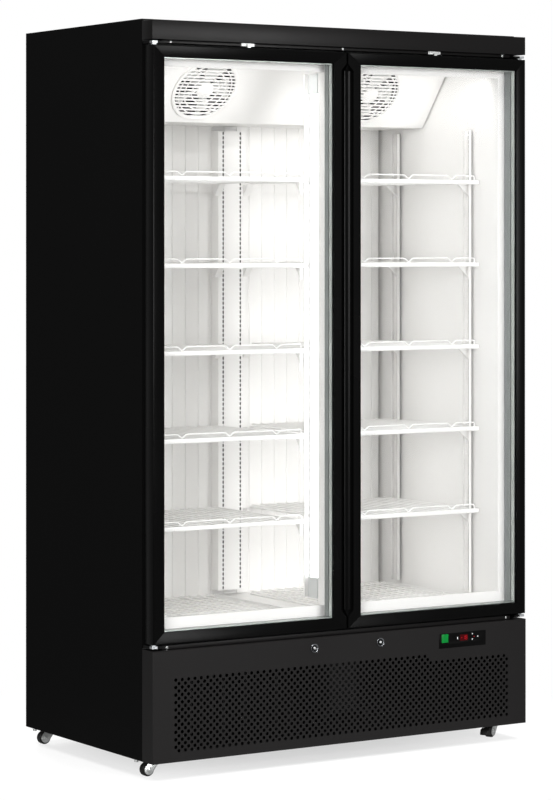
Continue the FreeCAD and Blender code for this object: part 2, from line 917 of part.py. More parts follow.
def caster_fork(spot):
    x, y = caster_spots[spot]
    wx = x - trail
    gap = wheel_w / 2 + 1
    top = caster_h - 2.5 - 0.3
    bridge = facet_bar(V(x, y, crown_z), V(0, 0, 1), top - crown_z, 15, 8)
    bridge = bridge.fuse(box(wx - 4, x, y - gap - 2, y + gap + 2, crown_z, top))
    plates = []
    line = [(x + 12, top), (x + 12, crown_z - 3), (wx + 11, wheel_r - 5), (wx + 5, wheel_r - 11)]
    line += [(wx - 5, wheel_r - 11), (wx - 11, wheel_r - 5), (wx - 11, wheel_r + 5), (wx - 4, top)]
    for y0 in (y - gap - 2, y + gap):
        plates.append(prism([V(px, y0, pz) for px, pz in line], V(0, 2, 0)))
    axle = rod(V(wx, y - gap, wheel_r), V(0, 1, 0), 2 * gap, axle_r)
    fork = bridge.fuse(plates + [axle])
    bore = rod(V(x, y, crown_z - 2), V(0, 0, 1), top - crown_z + 4, king_r + run_fit)
    return [swung(fork.cut(bore).removeSplitter(), spot)]


def caster_wheel(spot):
    x, y = caster_spots[spot]
    start = V(x - trail, y - wheel_w / 2, wheel_r)
    tyre = facet_bar(start, V(0, 1, 0), wheel_w, wheel_r / math.cos(math.pi / 40), 40)
    return [swung(tyre.cut(rod(start, V(0, 1, 0), wheel_w, axle_r + run_fit)), spot)]


os.makedirs("parts", exist_ok=True)

save("side_panels", side_panels())
save("top_panel", top_panel())
save("back_panel", back_panel())
save("insulation_foam", insulation_foam())
save("inner_liner", inner_liner())
save("front_surround", front_surround())
save("center_mullion", center_mullion())
save("mullion_lamp", mullion_lamp())
save("lamp_diffusers", lamp_diffusers())
save("top_fascia", top_fascia())
save("evaporator_cover", evaporator_cover())
save("fan_grilles", fan_grilles())
save("fan_motors", fan_motors())
save("left_fan", evaporator_fan(fan_places[0]))
save("right_fan", evaporator_fan(fan_places[1]))
save("condenser_fan", condenser_fan())
save("heat_exchangers", heat_exchangers())
save("rear_duct_panel", rear_duct_panel())
save("pilasters", pilasters())
save("shelf_clips", shelf_clips())
for tier in range(tiers):
    save("shelf_tier_" + str(tier + 1), shelf_tier(tier))
save("shelf_guards", shelf_guards())
save("base_racks", base_racks())
save("front_grille", front_grille())
save("control_bezel", control_bezel())
save("power_switch", power_switch())
save("display_window", display_window())
for name, spot in zip(("set", "up", "down", "light"), key_spots):
    save("key_" + name, control_key(spot))
save("lock_housings", lock_housings())
save("left_lock_plug", lock_plug(-lock_x))
save("right_lock_plug", lock_plug(lock_x))
save("hinge_brackets", hinge_brackets())
save("door_sensors", door_sensors())
for node, solids in (("frame", door_frame()), ("glass", door_glass()), ("spacer", door_spacer()),
                     ("gasket", door_gasket())):
    save("left_door_" + node, solids)
    save("right_door_" + node, [mirrored(s) for s in solids])
save("base_frame", base_frame())
save("compressor", compressor())
save("rear_grille", rear_grille())
save("caster_plates", caster_plates())
for spot in caster_spots:
    save("caster_fork_" + spot, caster_fork(spot))
    save("caster_wheel_" + spot, caster_wheel(spot))
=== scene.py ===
import bpy
import json
import math
from mathutils import Matrix, Vector

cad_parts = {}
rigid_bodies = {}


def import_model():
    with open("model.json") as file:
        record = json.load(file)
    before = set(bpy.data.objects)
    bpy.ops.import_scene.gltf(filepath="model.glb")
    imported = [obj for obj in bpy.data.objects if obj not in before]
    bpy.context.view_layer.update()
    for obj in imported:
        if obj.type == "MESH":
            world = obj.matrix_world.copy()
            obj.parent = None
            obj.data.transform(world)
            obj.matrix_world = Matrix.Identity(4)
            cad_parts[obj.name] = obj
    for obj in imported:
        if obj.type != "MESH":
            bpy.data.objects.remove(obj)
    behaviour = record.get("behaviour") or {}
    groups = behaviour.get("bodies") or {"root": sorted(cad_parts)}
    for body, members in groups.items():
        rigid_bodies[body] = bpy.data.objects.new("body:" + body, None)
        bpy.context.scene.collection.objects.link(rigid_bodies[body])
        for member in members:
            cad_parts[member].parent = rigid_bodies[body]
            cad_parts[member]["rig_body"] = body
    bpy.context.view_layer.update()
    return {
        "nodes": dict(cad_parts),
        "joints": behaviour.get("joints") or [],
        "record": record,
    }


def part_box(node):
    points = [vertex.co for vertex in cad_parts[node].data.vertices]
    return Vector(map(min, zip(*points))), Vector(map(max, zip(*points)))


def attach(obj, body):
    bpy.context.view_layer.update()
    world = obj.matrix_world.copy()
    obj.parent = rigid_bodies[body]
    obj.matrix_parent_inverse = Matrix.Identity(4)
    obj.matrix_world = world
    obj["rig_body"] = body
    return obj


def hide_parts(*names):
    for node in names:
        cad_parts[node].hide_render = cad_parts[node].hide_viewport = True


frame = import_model()
nodes = frame["nodes"]
slots = {part["node"]: part["material_slot"] for part in frame["record"]["subparts"]}


# Base frame: the floor tray, deck and corner posts that carry the cabinet.
# Folded sheet steel with a black powder coat, riveted at the corners.
def linear(colour):
    parts = [int(colour[n:n + 2], 16) / 255 for n in (1, 3, 5)]
    return [c / 12.92 if c <= 0.04045 else ((c + 0.055) / 1.055) ** 2.4 for c in parts] + [1.0]


def add(tree, kind, inputs, **settings):
    node = tree.nodes.new(kind)
    for name, value in settings.items():
        setattr(node, name, value)
    for key, value in inputs.items():
        socket = node.inputs[key]
        if isinstance(value, bpy.types.NodeSocket):
            tree.links.new(value, socket)
        else:
            socket.default_value = value
    return node


def new_finish(name):
    material = bpy.data.materials.new(name)
    material.use_nodes = True
    tree = material.node_tree
    tree.nodes.clear()
    return material, tree, add(tree, "ShaderNodeTexCoord", {}).outputs["Object"]


def clouded(tree, place, size_mm, detail, colour, shade):
    cloud = add(tree, "ShaderNodeTexNoise", {"Vector": place, "Scale": 1000 / size_mm, "Detail": detail})
    tone = add(tree, "ShaderNodeMix", {0: cloud.outputs["Fac"], 6: linear(colour), 7: linear(shade)},
               data_type="RGBA")
    return cloud.outputs["Fac"], tone.outputs[2]


# Powder coat: an even satin skin with a fine orange peel and faint cloudy changes in gloss.
def powder_coat(name, colour, shade, peel_mm, rough, gloss):
    material, tree, place = new_finish(name)
    cloud, tone = clouded(tree, place, 320, 3.0, colour, shade)
    peel = add(tree, "ShaderNodeTexNoise", {"Vector": place, "Scale": 1000 / peel_mm, "Detail": 2.0})
    satin = add(tree, "ShaderNodeMapRange", {"Value": cloud, "From Min": 0.3, "From Max": 0.7,
                                             "To Min": rough - 0.04, "To Max": rough + 0.04})
    relief = add(tree, "ShaderNodeBump",
                 {"Height": peel.outputs["Fac"], "Strength": 0.12, "Distance": 0.0002})
    skin = add(tree, "ShaderNodeBsdfPrincipled",
               {"Base Color": tone, "Roughness": satin.outputs["Result"],
                "Specular IOR Level": gloss, "Normal": relief.outputs["Normal"]})
    add(tree, "ShaderNodeOutputMaterial", {"Surface": skin.outputs["BSDF"]})
    return material


def dress(material, *names):
    for name in names:
        nodes[name].data.materials.clear()
        nodes[name].data.materials.append(material)


base_black = powder_coat("powder_coated_steel_base", "#141414", "#1b1b1c", 1.2, 0.5, 0.3)
dress(base_black, "base_frame")


# Casters: a zinc plated pressed fork with a ball race, a black tyred wheel and its axle bolt.
# The plates are bolted under the floor tray; the wheel turns on the bolt between the cheeks.
def only(piece):
    if bpy.context.object and bpy.context.object.mode != "OBJECT":
        bpy.ops.object.mode_set(mode="OBJECT")
    bpy.ops.object.select_all(action="DESELECT")
    piece.select_set(True)
    bpy.context.view_layer.objects.active = piece


def started(name):
    piece = bpy.context.object
    piece.name = name
    only(piece)
    bpy.ops.object.transform_apply(location=True, rotation=True, scale=True)
    return piece


def everything():
    bpy.ops.mesh.select_all(action="SELECT")


def done():
    bpy.ops.object.mode_set(mode="OBJECT")


def pulled(way):
    bpy.ops.mesh.extrude_region_move(TRANSFORM_OT_translate={"value": way})


def pick(piece, kind, test):
    only(piece)
    mesh = piece.data
    for part in (mesh.vertices, mesh.edges, mesh.polygons):
        part.foreach_set("select", [False] * len(part))
    bpy.context.tool_settings.mesh_select_mode = (kind == "VERT", kind == "EDGE", kind == "FACE")
    if kind == "VERT":
        for corner in mesh.vertices:
            corner.select = test(corner.co)
    elif kind == "EDGE":
        for edge in mesh.edges:
            a, b = (mesh.vertices[i].co for i in edge.vertices)
            edge.select = test(a, b)
    else:
        for face in mesh.polygons:
            face.select = test(face.center, face.normal)
    bpy.ops.object.mode_set(mode="EDIT")


def smooth(piece, degrees):
    only(piece)
    bpy.ops.object.shade_smooth_by_angle(angle=math.radians(degrees))


def joined(name, pieces):
    only(pieces[0])
    for piece in pieces[1:]:
        piece.select_set(True)
    if len(pieces) > 1:
        bpy.ops.object.join()
    pieces[0].name = name
    return pieces[0]


def copied(piece, name, matrix):
    twin = bpy.data.objects.new(name, piece.data.copy())
    bpy.context.scene.collection.objects.link(twin)
    twin.data.transform(matrix)
    return twin


def moved(*way):
    return Matrix.Translation(way)


def turned(degrees):
    return Matrix.Rotation(math.radians(degrees), 4, "Z")


def spread(model, name, places):
    twins = [copied(model, name, place) for place in places]
    bpy.data.objects.remove(model)
    return twins


def fitted(piece, body, slot, material, *replaced):
    piece.data.materials.clear()
    piece.data.materials.append(material)
    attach(piece, body)
    if replaced:
        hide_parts(*replaced)


def bevelled(piece, width, degrees=40, segments=2):
    edge = piece.modifiers.new("edges", "BEVEL")
    edge.width = width
    edge.segments = segments
    edge.limit_method = "ANGLE"
    edge.angle_limit = math.radians(degrees)
    only(piece)
    bpy.ops.object.modifier_apply(modifier="edges")
    smooth(piece, 40)


# Zinc and aluminium: bright cool metal, its gloss broken by drawn streaks along one direction.
# The streaks are drawn coarser than real ones, so that they show.
def drawn_metal(name, colour, shade, rough, streak_mm, stretch):
    material, tree, place = new_finish(name)
    along = add(tree, "ShaderNodeMapping", {"Vector": place, "Scale": stretch}).outputs["Vector"]
    lines, tone = clouded(tree, along, streak_mm, 4.0, colour, shade)
    gloss = add(tree, "ShaderNodeMapRange", {"Value": lines, "From Min": 0.3, "From Max": 0.7,
                                             "To Min": rough * 0.8, "To Max": rough * 1.25})
    relief = add(tree, "ShaderNodeBump", {"Height": lines, "Strength": 0.05, "Distance": 0.0001})
    metal = add(tree, "ShaderNodeBsdfPrincipled",
                {"Base Color": tone, "Metallic": 1.0, "Roughness": gloss.outputs["Result"],
                 "Normal": relief.outputs["Normal"]})
    add(tree, "ShaderNodeOutputMaterial", {"Surface": metal.outputs["BSDF"]})
    return material


# Moulded plastic and rubber: an even colour with a spark-eroded grain that softens the gloss.
# The grain is drawn coarser than the real one, so that it shows.
def moulded(name, colour, shade, rough, grain_mm, depth, shine=0.5):
    material, tree, place = new_finish(name)
    grain = add(tree, "ShaderNodeTexNoise", {"Vector": place, "Scale": 1000 / grain_mm, "Detail": 3.0})
    tone = clouded(tree, place, 60, 2.0, colour, shade)[1]
    gloss = add(tree, "ShaderNodeMapRange", {"Value": grain.outputs["Fac"], "From Min": 0.3, "From Max": 0.7,
                                             "To Min": rough - 0.05, "To Max": rough + 0.05})
    relief = add(tree, "ShaderNodeBump",
                 {"Height": grain.outputs["Fac"], "Strength": depth, "Distance": 0.0001})
    plastic = add(tree, "ShaderNodeBsdfPrincipled",
                  {"Base Color": tone, "Roughness": gloss.outputs["Result"],
                   "Specular IOR Level": shine, "Normal": relief.outputs["Normal"]})
    add(tree, "ShaderNodeOutputMaterial", {"Surface": plastic.outputs["BSDF"]})
    return material


zinc = drawn_metal("zinc_plated_steel_pressing", "#dfe0df", "#c8cac9", 0.38, 3.0, (1, 1, 4))
tyre_black = moulded("polyurethane_tyre_moulded", "#131312", "#1b1a19", 0.5, 0.8, 0.2, 0.2)
dress(zinc, "caster_plates")

wheel_r = 0.018
wheel_w = 0.020
tyre_round = 0.0035
trail = 0.020
crown_low = 0.038
crown_high = 0.0422
crown_r = 0.0145
crown_mid = (crown_low + crown_high) / 2 - wheel_r
cheek = 0.002
cheek_r = 0.0135
stood_up = (math.pi / 2, 0, 0)
bpy.ops.mesh.primitive_cylinder_add(vertices=48, radius=wheel_r, depth=wheel_w, rotation=stood_up)
wheel = started("wheel_model")
pick(wheel, "EDGE", lambda a, b: abs(a.y - b.y) < 1e-5 and a.xz.length > wheel_r * 0.9)
bpy.ops.mesh.bevel(offset=tyre_round, segments=4, affect="EDGES")
pick(wheel, "FACE", lambda c, n: abs(n.y) > 0.99 and c.xz.length < 1e-4)
bpy.ops.mesh.inset(thickness=0.003)
bpy.ops.mesh.inset(thickness=0.001, depth=-0.0015)
smooth(wheel, 40)

bpy.ops.mesh.primitive_circle_add(vertices=40, radius=cheek_r, fill_type="NOTHING", rotation=stood_up)
fork = started("fork_model")
bpy.ops.object.mode_set(mode="EDIT")
for x in (trail + 0.014, 0.002):
    bpy.ops.mesh.primitive_plane_add(size=0.001, location=(x, 0, crown_low - wheel_r + 0.002),
                                     rotation=stood_up)
everything()
bpy.ops.mesh.delete(type="ONLY_FACE")
everything()
bpy.ops.mesh.convex_hull()
bpy.ops.mesh.dissolve_limited(angle_limit=0.02)
everything()
bpy.ops.mesh.delete(type="ONLY_FACE")
everything()
bpy.ops.mesh.remove_doubles(threshold=1e-6)
bpy.ops.mesh.edge_face_add()
pulled((0, cheek, 0))
everything()
bpy.ops.mesh.normals_make_consistent(inside=False)
done()
cheek_y = wheel_w / 2 + 0.001
cheeks = spread(fork, "cheek", [moved(0, -cheek_y - cheek, 0), moved(0, cheek_y, 0)])
bpy.ops.mesh.primitive_cylinder_add(vertices=32, radius=crown_r, depth=crown_high - crown_low,
                                    location=(trail, 0, crown_mid))
crown = started("crown")
bpy.ops.mesh.primitive_cube_add(size=1, location=(trail / 2 - 0.002, 0, crown_mid),
                                scale=(trail + 0.012, 2 * (cheek_y + cheek), crown_high - crown_low))
bridge = started("bridge")
bolts = []
for way, sides, radius, proud in ((-1, 6, 0.0052, 0.0035), (1, 6, 0.0052, 0.0035), (-1, 24, 0.0075, 0.001)):
    out = way * (cheek_y + cheek + proud / 2)
    bpy.ops.mesh.primitive_cylinder_add(vertices=sides, radius=radius, depth=proud, location=(0, out, 0),
                                        rotation=stood_up)
    bolts.append(started("bolt"))
bpy.ops.mesh.primitive_cylinder_add(vertices=20, radius=0.003, depth=2 * cheek_y, rotation=stood_up)
bolts.append(started("axle"))
fork = joined("fork_model", cheeks + [crown, bridge] + bolts)
bevelled(fork, 0.0006, 50)

stands = {}
for corner in ("front_left", "front_right", "rear_left", "rear_right"):
    low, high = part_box("caster_wheel_" + corner)
    turn = turned(28 if corner == "front_right" else 0)
    stands[corner] = moved((low.x + high.x) / 2, (low.y + high.y) / 2, wheel_r) @ turn
    tyre = copied(wheel, "wheel_" + corner, stands[corner])
    fitted(tyre, "caster_wheel_" + corner, "caster_tyre", tyre_black, "caster_wheel_" + corner)
    pressing = copied(fork, "fork_" + corner, stands[corner])
    fitted(pressing, "caster_fork_" + corner, "caster_zinc", zinc, "caster_fork_" + corner)
bpy.data.objects.remove(wheel)
bpy.data.objects.remove(fork)


# Brake pedal: the foot lever that stops the front right wheel.
# Moulded in the tyres' black polyurethane and pinned to the trailing end of the fork.
bpy.ops.mesh.primitive_cube_add(size=1, location=(-0.0305, 0, 0.002), scale=(0.019, 0.026, 0.020))
pedal = started("brake_pedal")
pick(pedal, "VERT", lambda p: p.x < -0.035 and p.z > 0)
bpy.ops.transform.translate(value=(0.004, 0, -0.004))
done()
bevelled(pedal, 0.003, 30, 3)
pedal.data.transform(stands["front_right"])
fitted(pedal, "caster_fork_front_right", "caster_zinc", tyre_black)


# Frame bolts: zinc plated hex heads that stand out below the side panels at the base frame's corners.
# They are driven from below and hold the panels' lower flanges to the frame.
bolt_x = 0.603
bolt_z = 0.0413
bolt_ys = (-0.254, 0.316)
bpy.ops.mesh.primitive_cylinder_add(vertices=6, radius=0.0055, depth=0.0075)
head = started("bolt_model")
bevelled(head, 0.0008)
bolts = spread(head, "bolt", [moved(x, y, bolt_z) for x in (-bolt_x, bolt_x) for y in bolt_ys])
fitted(joined("frame_bolts", bolts), "cabinet", "caster_zinc", zinc)


# Cooling machine: hermetic compressor on rubber feet, condenser coil with its fan, evaporator coil.
# Drawn steel can in black enamel, coated aluminium fins, cast motor housings and moulded fan wheels.
# The enamel has a deep soft shine; the fins and housings stay dull, so little shows through the panel.
enamel_black = powder_coat("black_enamel_drawn_steel", "#0d0d0e", "#161617", 2.0, 0.35, 0.5)
fin_metal = powder_coat("black_coated_aluminium_fins", "#101011", "#171718", 2.0, 0.55, 0.2)
motor_grey = moulded("aluminium_housing_cast", "#3a3b3d", "#2c2d2f", 0.5, 1.5, 0.3)
fan_black = moulded("black_polypropylene_moulded", "#18181a", "#202022", 0.45, 0.8, 0.1)
dress(enamel_black, "compressor")
dress(fin_metal, "heat_exchangers")
dress(fan_black, "condenser_fan")
dress(motor_grey, "fan_motors")


# Insulated box: foam slabs between the skins, white liner sheets and the ribbed duct panel at the back.
# The liner is steel sheet, stove enamelled white: clean and even, with a mild gloss that spreads the light.
# The foam is poured between the skins and is seen nowhere.
foam_cream = moulded("polyurethane_foam_cast", "#d9cfae", "#c9bd97", 0.9, 3.0, 0.5)
white_enamel = powder_coat("white_stove_enamel_steel", "#f6f5f3", "#f1f0ee", 2.0, 0.38, 0.4)
dress(foam_cream, "insulation_foam")
dress(white_enamel, "inner_liner", "rear_duct_panel")


# Front surround: the flat white frame round the opening that the door gaskets close on.
# Extruded PVC, screwed to the box; outside the gaskets it is painted black, so no white edge shows.
rim_x = 0.594
rim_mid = 1.1375
rim_half = 0.7785
surround_white, tree, place = new_finish("white_pvc_extruded_painted_rim")
across = add(tree, "ShaderNodeSeparateXYZ", {0: place})
reach = add(tree, "ShaderNodeMath", {0: across.outputs["X"]}, operation="ABSOLUTE")
sides = add(tree, "ShaderNodeMath", {0: reach.outputs["Value"], 1: rim_x}, operation="GREATER_THAN")
rise = add(tree, "ShaderNodeMath", {0: across.outputs["Z"], 1: rim_mid}, operation="SUBTRACT")
climb = add(tree, "ShaderNodeMath", {0: rise.outputs["Value"]}, operation="ABSOLUTE")
ends = add(tree, "ShaderNodeMath", {0: climb.outputs["Value"], 1: rim_half}, operation="GREATER_THAN")
rim = add(tree, "ShaderNodeMath", {0: sides.outputs["Value"], 1: ends.outputs["Value"]}, operation="MAXIMUM")
tone = clouded(tree, place, 250, 2.0, "#f6f5f3", "#f1f0ee")[1]
paint = add(tree, "ShaderNodeMix", {0: rim.outputs["Value"], 6: tone, 7: linear("#0c0c0c")},
            data_type="RGBA")
plastic = add(tree, "ShaderNodeBsdfPrincipled",
              {"Base Color": paint.outputs[2], "Roughness": 0.4, "Specular IOR Level": 0.2})
add(tree, "ShaderNodeOutputMaterial", {"Surface": plastic.outputs["BSDF"]})
dress(surround_white, "front_surround")


# Outer skin: two side sheets, the top and the back, folded along their edges and clipped round the box.
# Black powder-coated steel: nearly without shine in front, a little greyer and rougher on the back.
skin_black = powder_coat("powder_coated_steel_black", "#0d0d0d", "#101010", 1.5, 0.5, 0.01)
back_coat = powder_coat("powder_coated_steel_back", "#191919", "#1e1e1e", 2.5, 0.55, 0.1)
dress(skin_black, "side_panels", "top_panel")
dress(back_coat, "back_panel")


# Evaporator cover and fan guards: a sloping white cover over the coil with two round moulded grilles.
# Each guard is a rim, level slats, curved ribs and a hub, snapped on the slope in front of a fan.
# The cover is enamelled steel; the guards are white ABS, satin and a shade darker.
def opened(piece):
    only(piece)
    bpy.ops.object.mode_set(mode="EDIT")
    everything()


def merged(piece):
    opened(piece)
    bpy.ops.mesh.remove_doubles(threshold=1e-6)
    bpy.ops.mesh.normals_make_consistent(inside=False)
    done()


def wire(name, points, radius, bend=0.0, closed=False):
    links = [(i, i + 1) for i in range(len(points) - 1)] + ([(len(points) - 1, 0)] if closed else [])
    mesh = bpy.data.meshes.new(name)
    mesh.from_pydata(points, links, [])
    piece = bpy.data.objects.new(name, mesh)
    bpy.context.scene.collection.objects.link(piece)
    only(piece)
    if bend:
        opened(piece)
        bpy.ops.mesh.bevel(offset=bend, segments=3, affect="VERTICES")
        done()
    bpy.ops.object.convert(target="CURVE")
    piece.data.bevel_depth = radius
    piece.data.bevel_resolution = 1
    piece.data.use_fill_caps = True
    bpy.ops.object.convert(target="MESH")
    merged(piece)
    smooth(piece, 50)
    return piece


dress(white_enamel, "evaporator_cover")
guard_white = moulded("white_abs_moulded", "#f4f3f1", "#eceae8", 0.4, 0.9, 0.08)
guard_r = 0.102
mouth_r = 0.092
guard_t = 0.004
slat_pitch = 0.011
slat_w = 0.0060
slat_t = 0.0016
hub_r = 0.026
rib_start = 0.022
rib_z = 0.0024
bpy.ops.mesh.primitive_circle_add(vertices=72, radius=guard_r)
guard = started("guard_model")
bpy.ops.object.mode_set(mode="EDIT")
bpy.ops.mesh.primitive_circle_add(vertices=72, radius=mouth_r)
everything()
bpy.ops.mesh.bridge_edge_loops()
everything()
pulled((0, 0, guard_t))
merged(guard)
bevelled(guard, 0.0012)
bars = [guard]
for row in range(-8, 9):
    level = row * slat_pitch
    chord = 2 * (math.sqrt(mouth_r ** 2 - level ** 2) + 0.001)
    bpy.ops.mesh.primitive_cube_add(size=1, location=(0, level, 0.0026), scale=(chord, slat_w, slat_t))
    slat = started("slat")
    bevelled(slat, 0.0007, 40, 1)
    bars.append(slat)
for ring_r in (0.042, 0.064, 0.081):
    bpy.ops.mesh.primitive_torus_add(major_radius=ring_r, minor_radius=0.0019, major_segments=48,
                                     minor_segments=6, location=(0, 0, rib_z))
    ring = started("ring")
    smooth(ring, 60)
    bars.append(ring)
for arm in range(4):
    points = []
    for step in range(6):
        reach = rib_start + (mouth_r - rib_start) * step / 5
        angle = math.radians(90 * arm + 9 * step)
        points.append((reach * math.cos(angle), reach * math.sin(angle), rib_z))
    bars.append(wire("rib", points, 0.0014))
bpy.ops.mesh.primitive_cylinder_add(vertices=40, radius=hub_r, depth=0.0036, location=(0, 0, 0.0020))
hub = started("hub")
bevelled(hub, 0.001)
guard = joined("guard_model", bars + [hub])
slope_y = Vector((0, -137, 175)).normalized()
slope_out = Vector((1, 0, 0)).cross(slope_y)
fan_middles = {joint["child"]: Vector(joint["pos_m"]) for joint in frame["joints"]
               if joint["child"] in ("left_fan", "right_fan")}


def on_slope(middle, inward):
    seat = middle - slope_out * inward
    return Matrix(((1, slope_y.x, slope_out.x, seat.x), (0, slope_y.y, slope_out.y, seat.y),
                   (0, slope_y.z, slope_out.z, seat.z), (0, 0, 0, 1)))


guards = spread(guard, "guard", [on_slope(middle, 0) for middle in fan_middles.values()])
fitted(joined("fan_guards", guards), "cabinet", slots["fan_grilles"], guard_white, "fan_grilles")


# Fans: a hub with five pitched blades behind each guard, pressed on the motor shaft.
# Pale satin polypropylene moulded in one piece; a blade is an edge spun round the shaft, then tilted.
def thickened(piece, thickness, offset):
    gauge = piece.modifiers.new("gauge", "SOLIDIFY")
    gauge.thickness = thickness
    gauge.offset = offset
    only(piece)
    bpy.ops.object.modifier_apply(modifier="gauge")


fan_grey = moulded("grey_polypropylene_moulded", "#e4e5e2", "#d8dad7", 0.45, 0.8, 0.1)
fan_seat = 0.016
blade_root = 0.020
blade_tip = 0.085
blade_t = 0.0018
bpy.ops.mesh.primitive_cylinder_add(vertices=40, radius=0.024, depth=0.022)
hub = started("fan_hub")
bevelled(hub, 0.003)
bpy.ops.mesh.primitive_plane_add(size=1, location=((blade_root + blade_tip) / 2, 0, 0))
blade = started("blade_model")
pick(blade, "VERT", lambda p: p.y > 0)
bpy.ops.mesh.delete(type="VERT")
pick(blade, "VERT", lambda p: True)
bpy.ops.transform.resize(value=(blade_tip - blade_root, 1, 1),
                         center_override=((blade_root + blade_tip) / 2, 0, 0))
bpy.ops.transform.translate(value=(0, 0.5, 0))
bpy.ops.mesh.subdivide(number_cuts=4)
bpy.ops.mesh.spin(steps=8, angle=math.radians(40), center=(0, 0, 0), axis=(0, 0, 1))
everything()
bpy.ops.transform.rotate(value=math.radians(-20), orient_axis="Z", center_override=(0, 0, 0))
bpy.ops.transform.rotate(value=math.radians(24), orient_axis="X", center_override=(0, 0, 0))
done()
thickened(blade, blade_t, 0)
blades = spread(blade, "blade", [turned(-72 * n) for n in range(5)])
fan = joined("fan_model", [hub] + blades)
smooth(fan, 40)
for body, middle in fan_middles.items():
    fitted(copied(fan, body + "_wheel", on_slope(middle, fan_seat)), body, "fan_plastic", fan_grey, body)
bpy.data.objects.remove(fan)


# Fan shrouds: a cup behind each guard, its wall round the fan and its floor closed behind the blades.
# Moulded in black polypropylene, dull and dark, clipped behind the opening of the cover; the near-black
# closed floor is a painted shade for the dark space behind the fan.
shroud_black_painted_shade = moulded("dull_black_moulded_painted_shade", "#050505", "#080808", 0.6, 1.0, 0.1, 0.05)
cup_r = 0.0915
cup_deep = 0.050
cup_wall = 0.0012
cup_floor = 0.0015
cup_seat = 0.0275
bpy.ops.mesh.primitive_cylinder_add(vertices=48, radius=cup_r, depth=cup_deep, end_fill_type="NGON")
cup = started("shroud_model")
pick(cup, "FACE", lambda c, n: n.z > 0.9)
bpy.ops.mesh.inset(thickness=cup_wall)
pulled((0, 0, cup_floor - cup_deep))
done()
smooth(cup, 40)
cups = spread(cup, "shroud", [on_slope(middle, cup_seat) for middle in fan_middles.values()])
fitted(joined("fan_shrouds", cups), "cabinet", slots["fan_motors"], shroud_black_painted_shade)


# Uprights: slotted shelf posts on the side walls, behind the lamp post and on the rear wall.
# Roll-formed steel in the liner's white enamel, screwed on; one slotted cell is made, repeated up the
# post and folded back at its edges.
def repeated(piece, count, step):
    row = piece.modifiers.new("row", "ARRAY")
    row.count = count
    row.use_relative_offset = False
    row.use_constant_offset = True
    row.constant_offset_displace = step
    row.use_merge_vertices = True
    row.merge_threshold = 1e-5
    only(piece)
    bpy.ops.object.modifier_apply(modifier="row")


def both_at(a, b, axis, value):
    return abs(a[axis] - value) < 1e-5 and abs(b[axis] - value) < 1e-5


sheet_t = 0.0012
slot_w = 0.0052
slot_h = 0.0088


def upright(name, width, depth, columns, low, high):
    count = 100
    pitch = (high - low) / count
    cell_w = width / len(columns)
    margin = 0.003
    strips = []
    for number, shift in enumerate(columns):
        bpy.ops.mesh.primitive_plane_add(size=1, rotation=stood_up)
        bpy.context.object.scale = (cell_w, pitch, 1)
        strip = started("strip")
        opened(strip)
        bpy.ops.mesh.inset(thickness=0.002)
        bpy.ops.mesh.inset(thickness=0.001)
        bpy.ops.transform.resize(value=(slot_w / (cell_w - 2 * margin), 1, slot_h / (pitch - 2 * margin)))
        bpy.ops.transform.translate(value=(shift, 0, 0))
        bpy.ops.mesh.delete(type="FACE")
        done()
        repeated(strip, count, (0, 0, pitch))
        strip.data.transform(moved((number + 0.5) * cell_w - width / 2, 0, low + pitch / 2))
        strips.append(strip)
    post = joined(name, strips)
    opened(post)
    bpy.ops.mesh.remove_doubles(threshold=1e-5)
    pick(post, "EDGE", lambda a, b: both_at(a, b, 0, -width / 2) or both_at(a, b, 0, width / 2))
    bpy.ops.mesh.extrude_edges_move(TRANSFORM_OT_translate={"value": (0, depth, 0)})
    done()
    thickened(post, sheet_t, -1)
    return post


post_low, post_high = 0.401, 1.725
post_ys = (-0.167, 0.190)
wide_post = 0.092
two_rows = (-0.006, 0.006)
wall_post = upright("wall_post", 0.030, 0.0095, (0.0,), post_low, post_high)
posts = spread(wall_post, "wall_post", [moved(side * (0.554 - 0.0097), y, 0) @ turned(90 * side)
                                        for side in (-1, 1) for y in post_ys])
rear_post = upright("rear_post", wide_post, 0.0365, two_rows, post_low, post_high)
rear_post.data.transform(moved(0, 0.2432, 0))
lamp_strip = upright("lamp_strip", wide_post, 0.0055, two_rows, 0.430, 1.866)
lamp_strip.data.transform(moved(0, -0.2062, 0) @ turned(180))
posts += [rear_post, lamp_strip]
fitted(joined("slotted_uprights", posts), "cabinet", slots["pilasters"], white_enamel, "pilasters")


# Slot shade strips: dull dark grey strips just behind the slots, a painted shade for the dark hollow
# inside the posts, so the slots read as rows of dark dashes.
slot_shade_grey = moulded("grey_slot_painted_shade", "#4a4b4b", "#3c3d3d", 0.8, 1.5, 0.3, 0.1)
shade_strip_w = 0.009
shade_strip_t = 0.001
shade_strip_h = 1.318
shade_strip_mid = 1.063
bpy.ops.mesh.primitive_cube_add(size=1, scale=(shade_strip_w, shade_strip_t, shade_strip_h))
shade_strip = started("shade_strip_model")
places = [moved(x, 0.2462, shade_strip_mid) for x in (-0.029, 0.029)]
places += [moved(x, y, shade_strip_mid) @ turned(90) for x in (-0.5478, 0.5478) for y in post_ys]
fitted(joined("slot_shade_strips", spread(shade_strip, "shade_strip", places)), "cabinet", slots["pilasters"], slot_shade_grey)


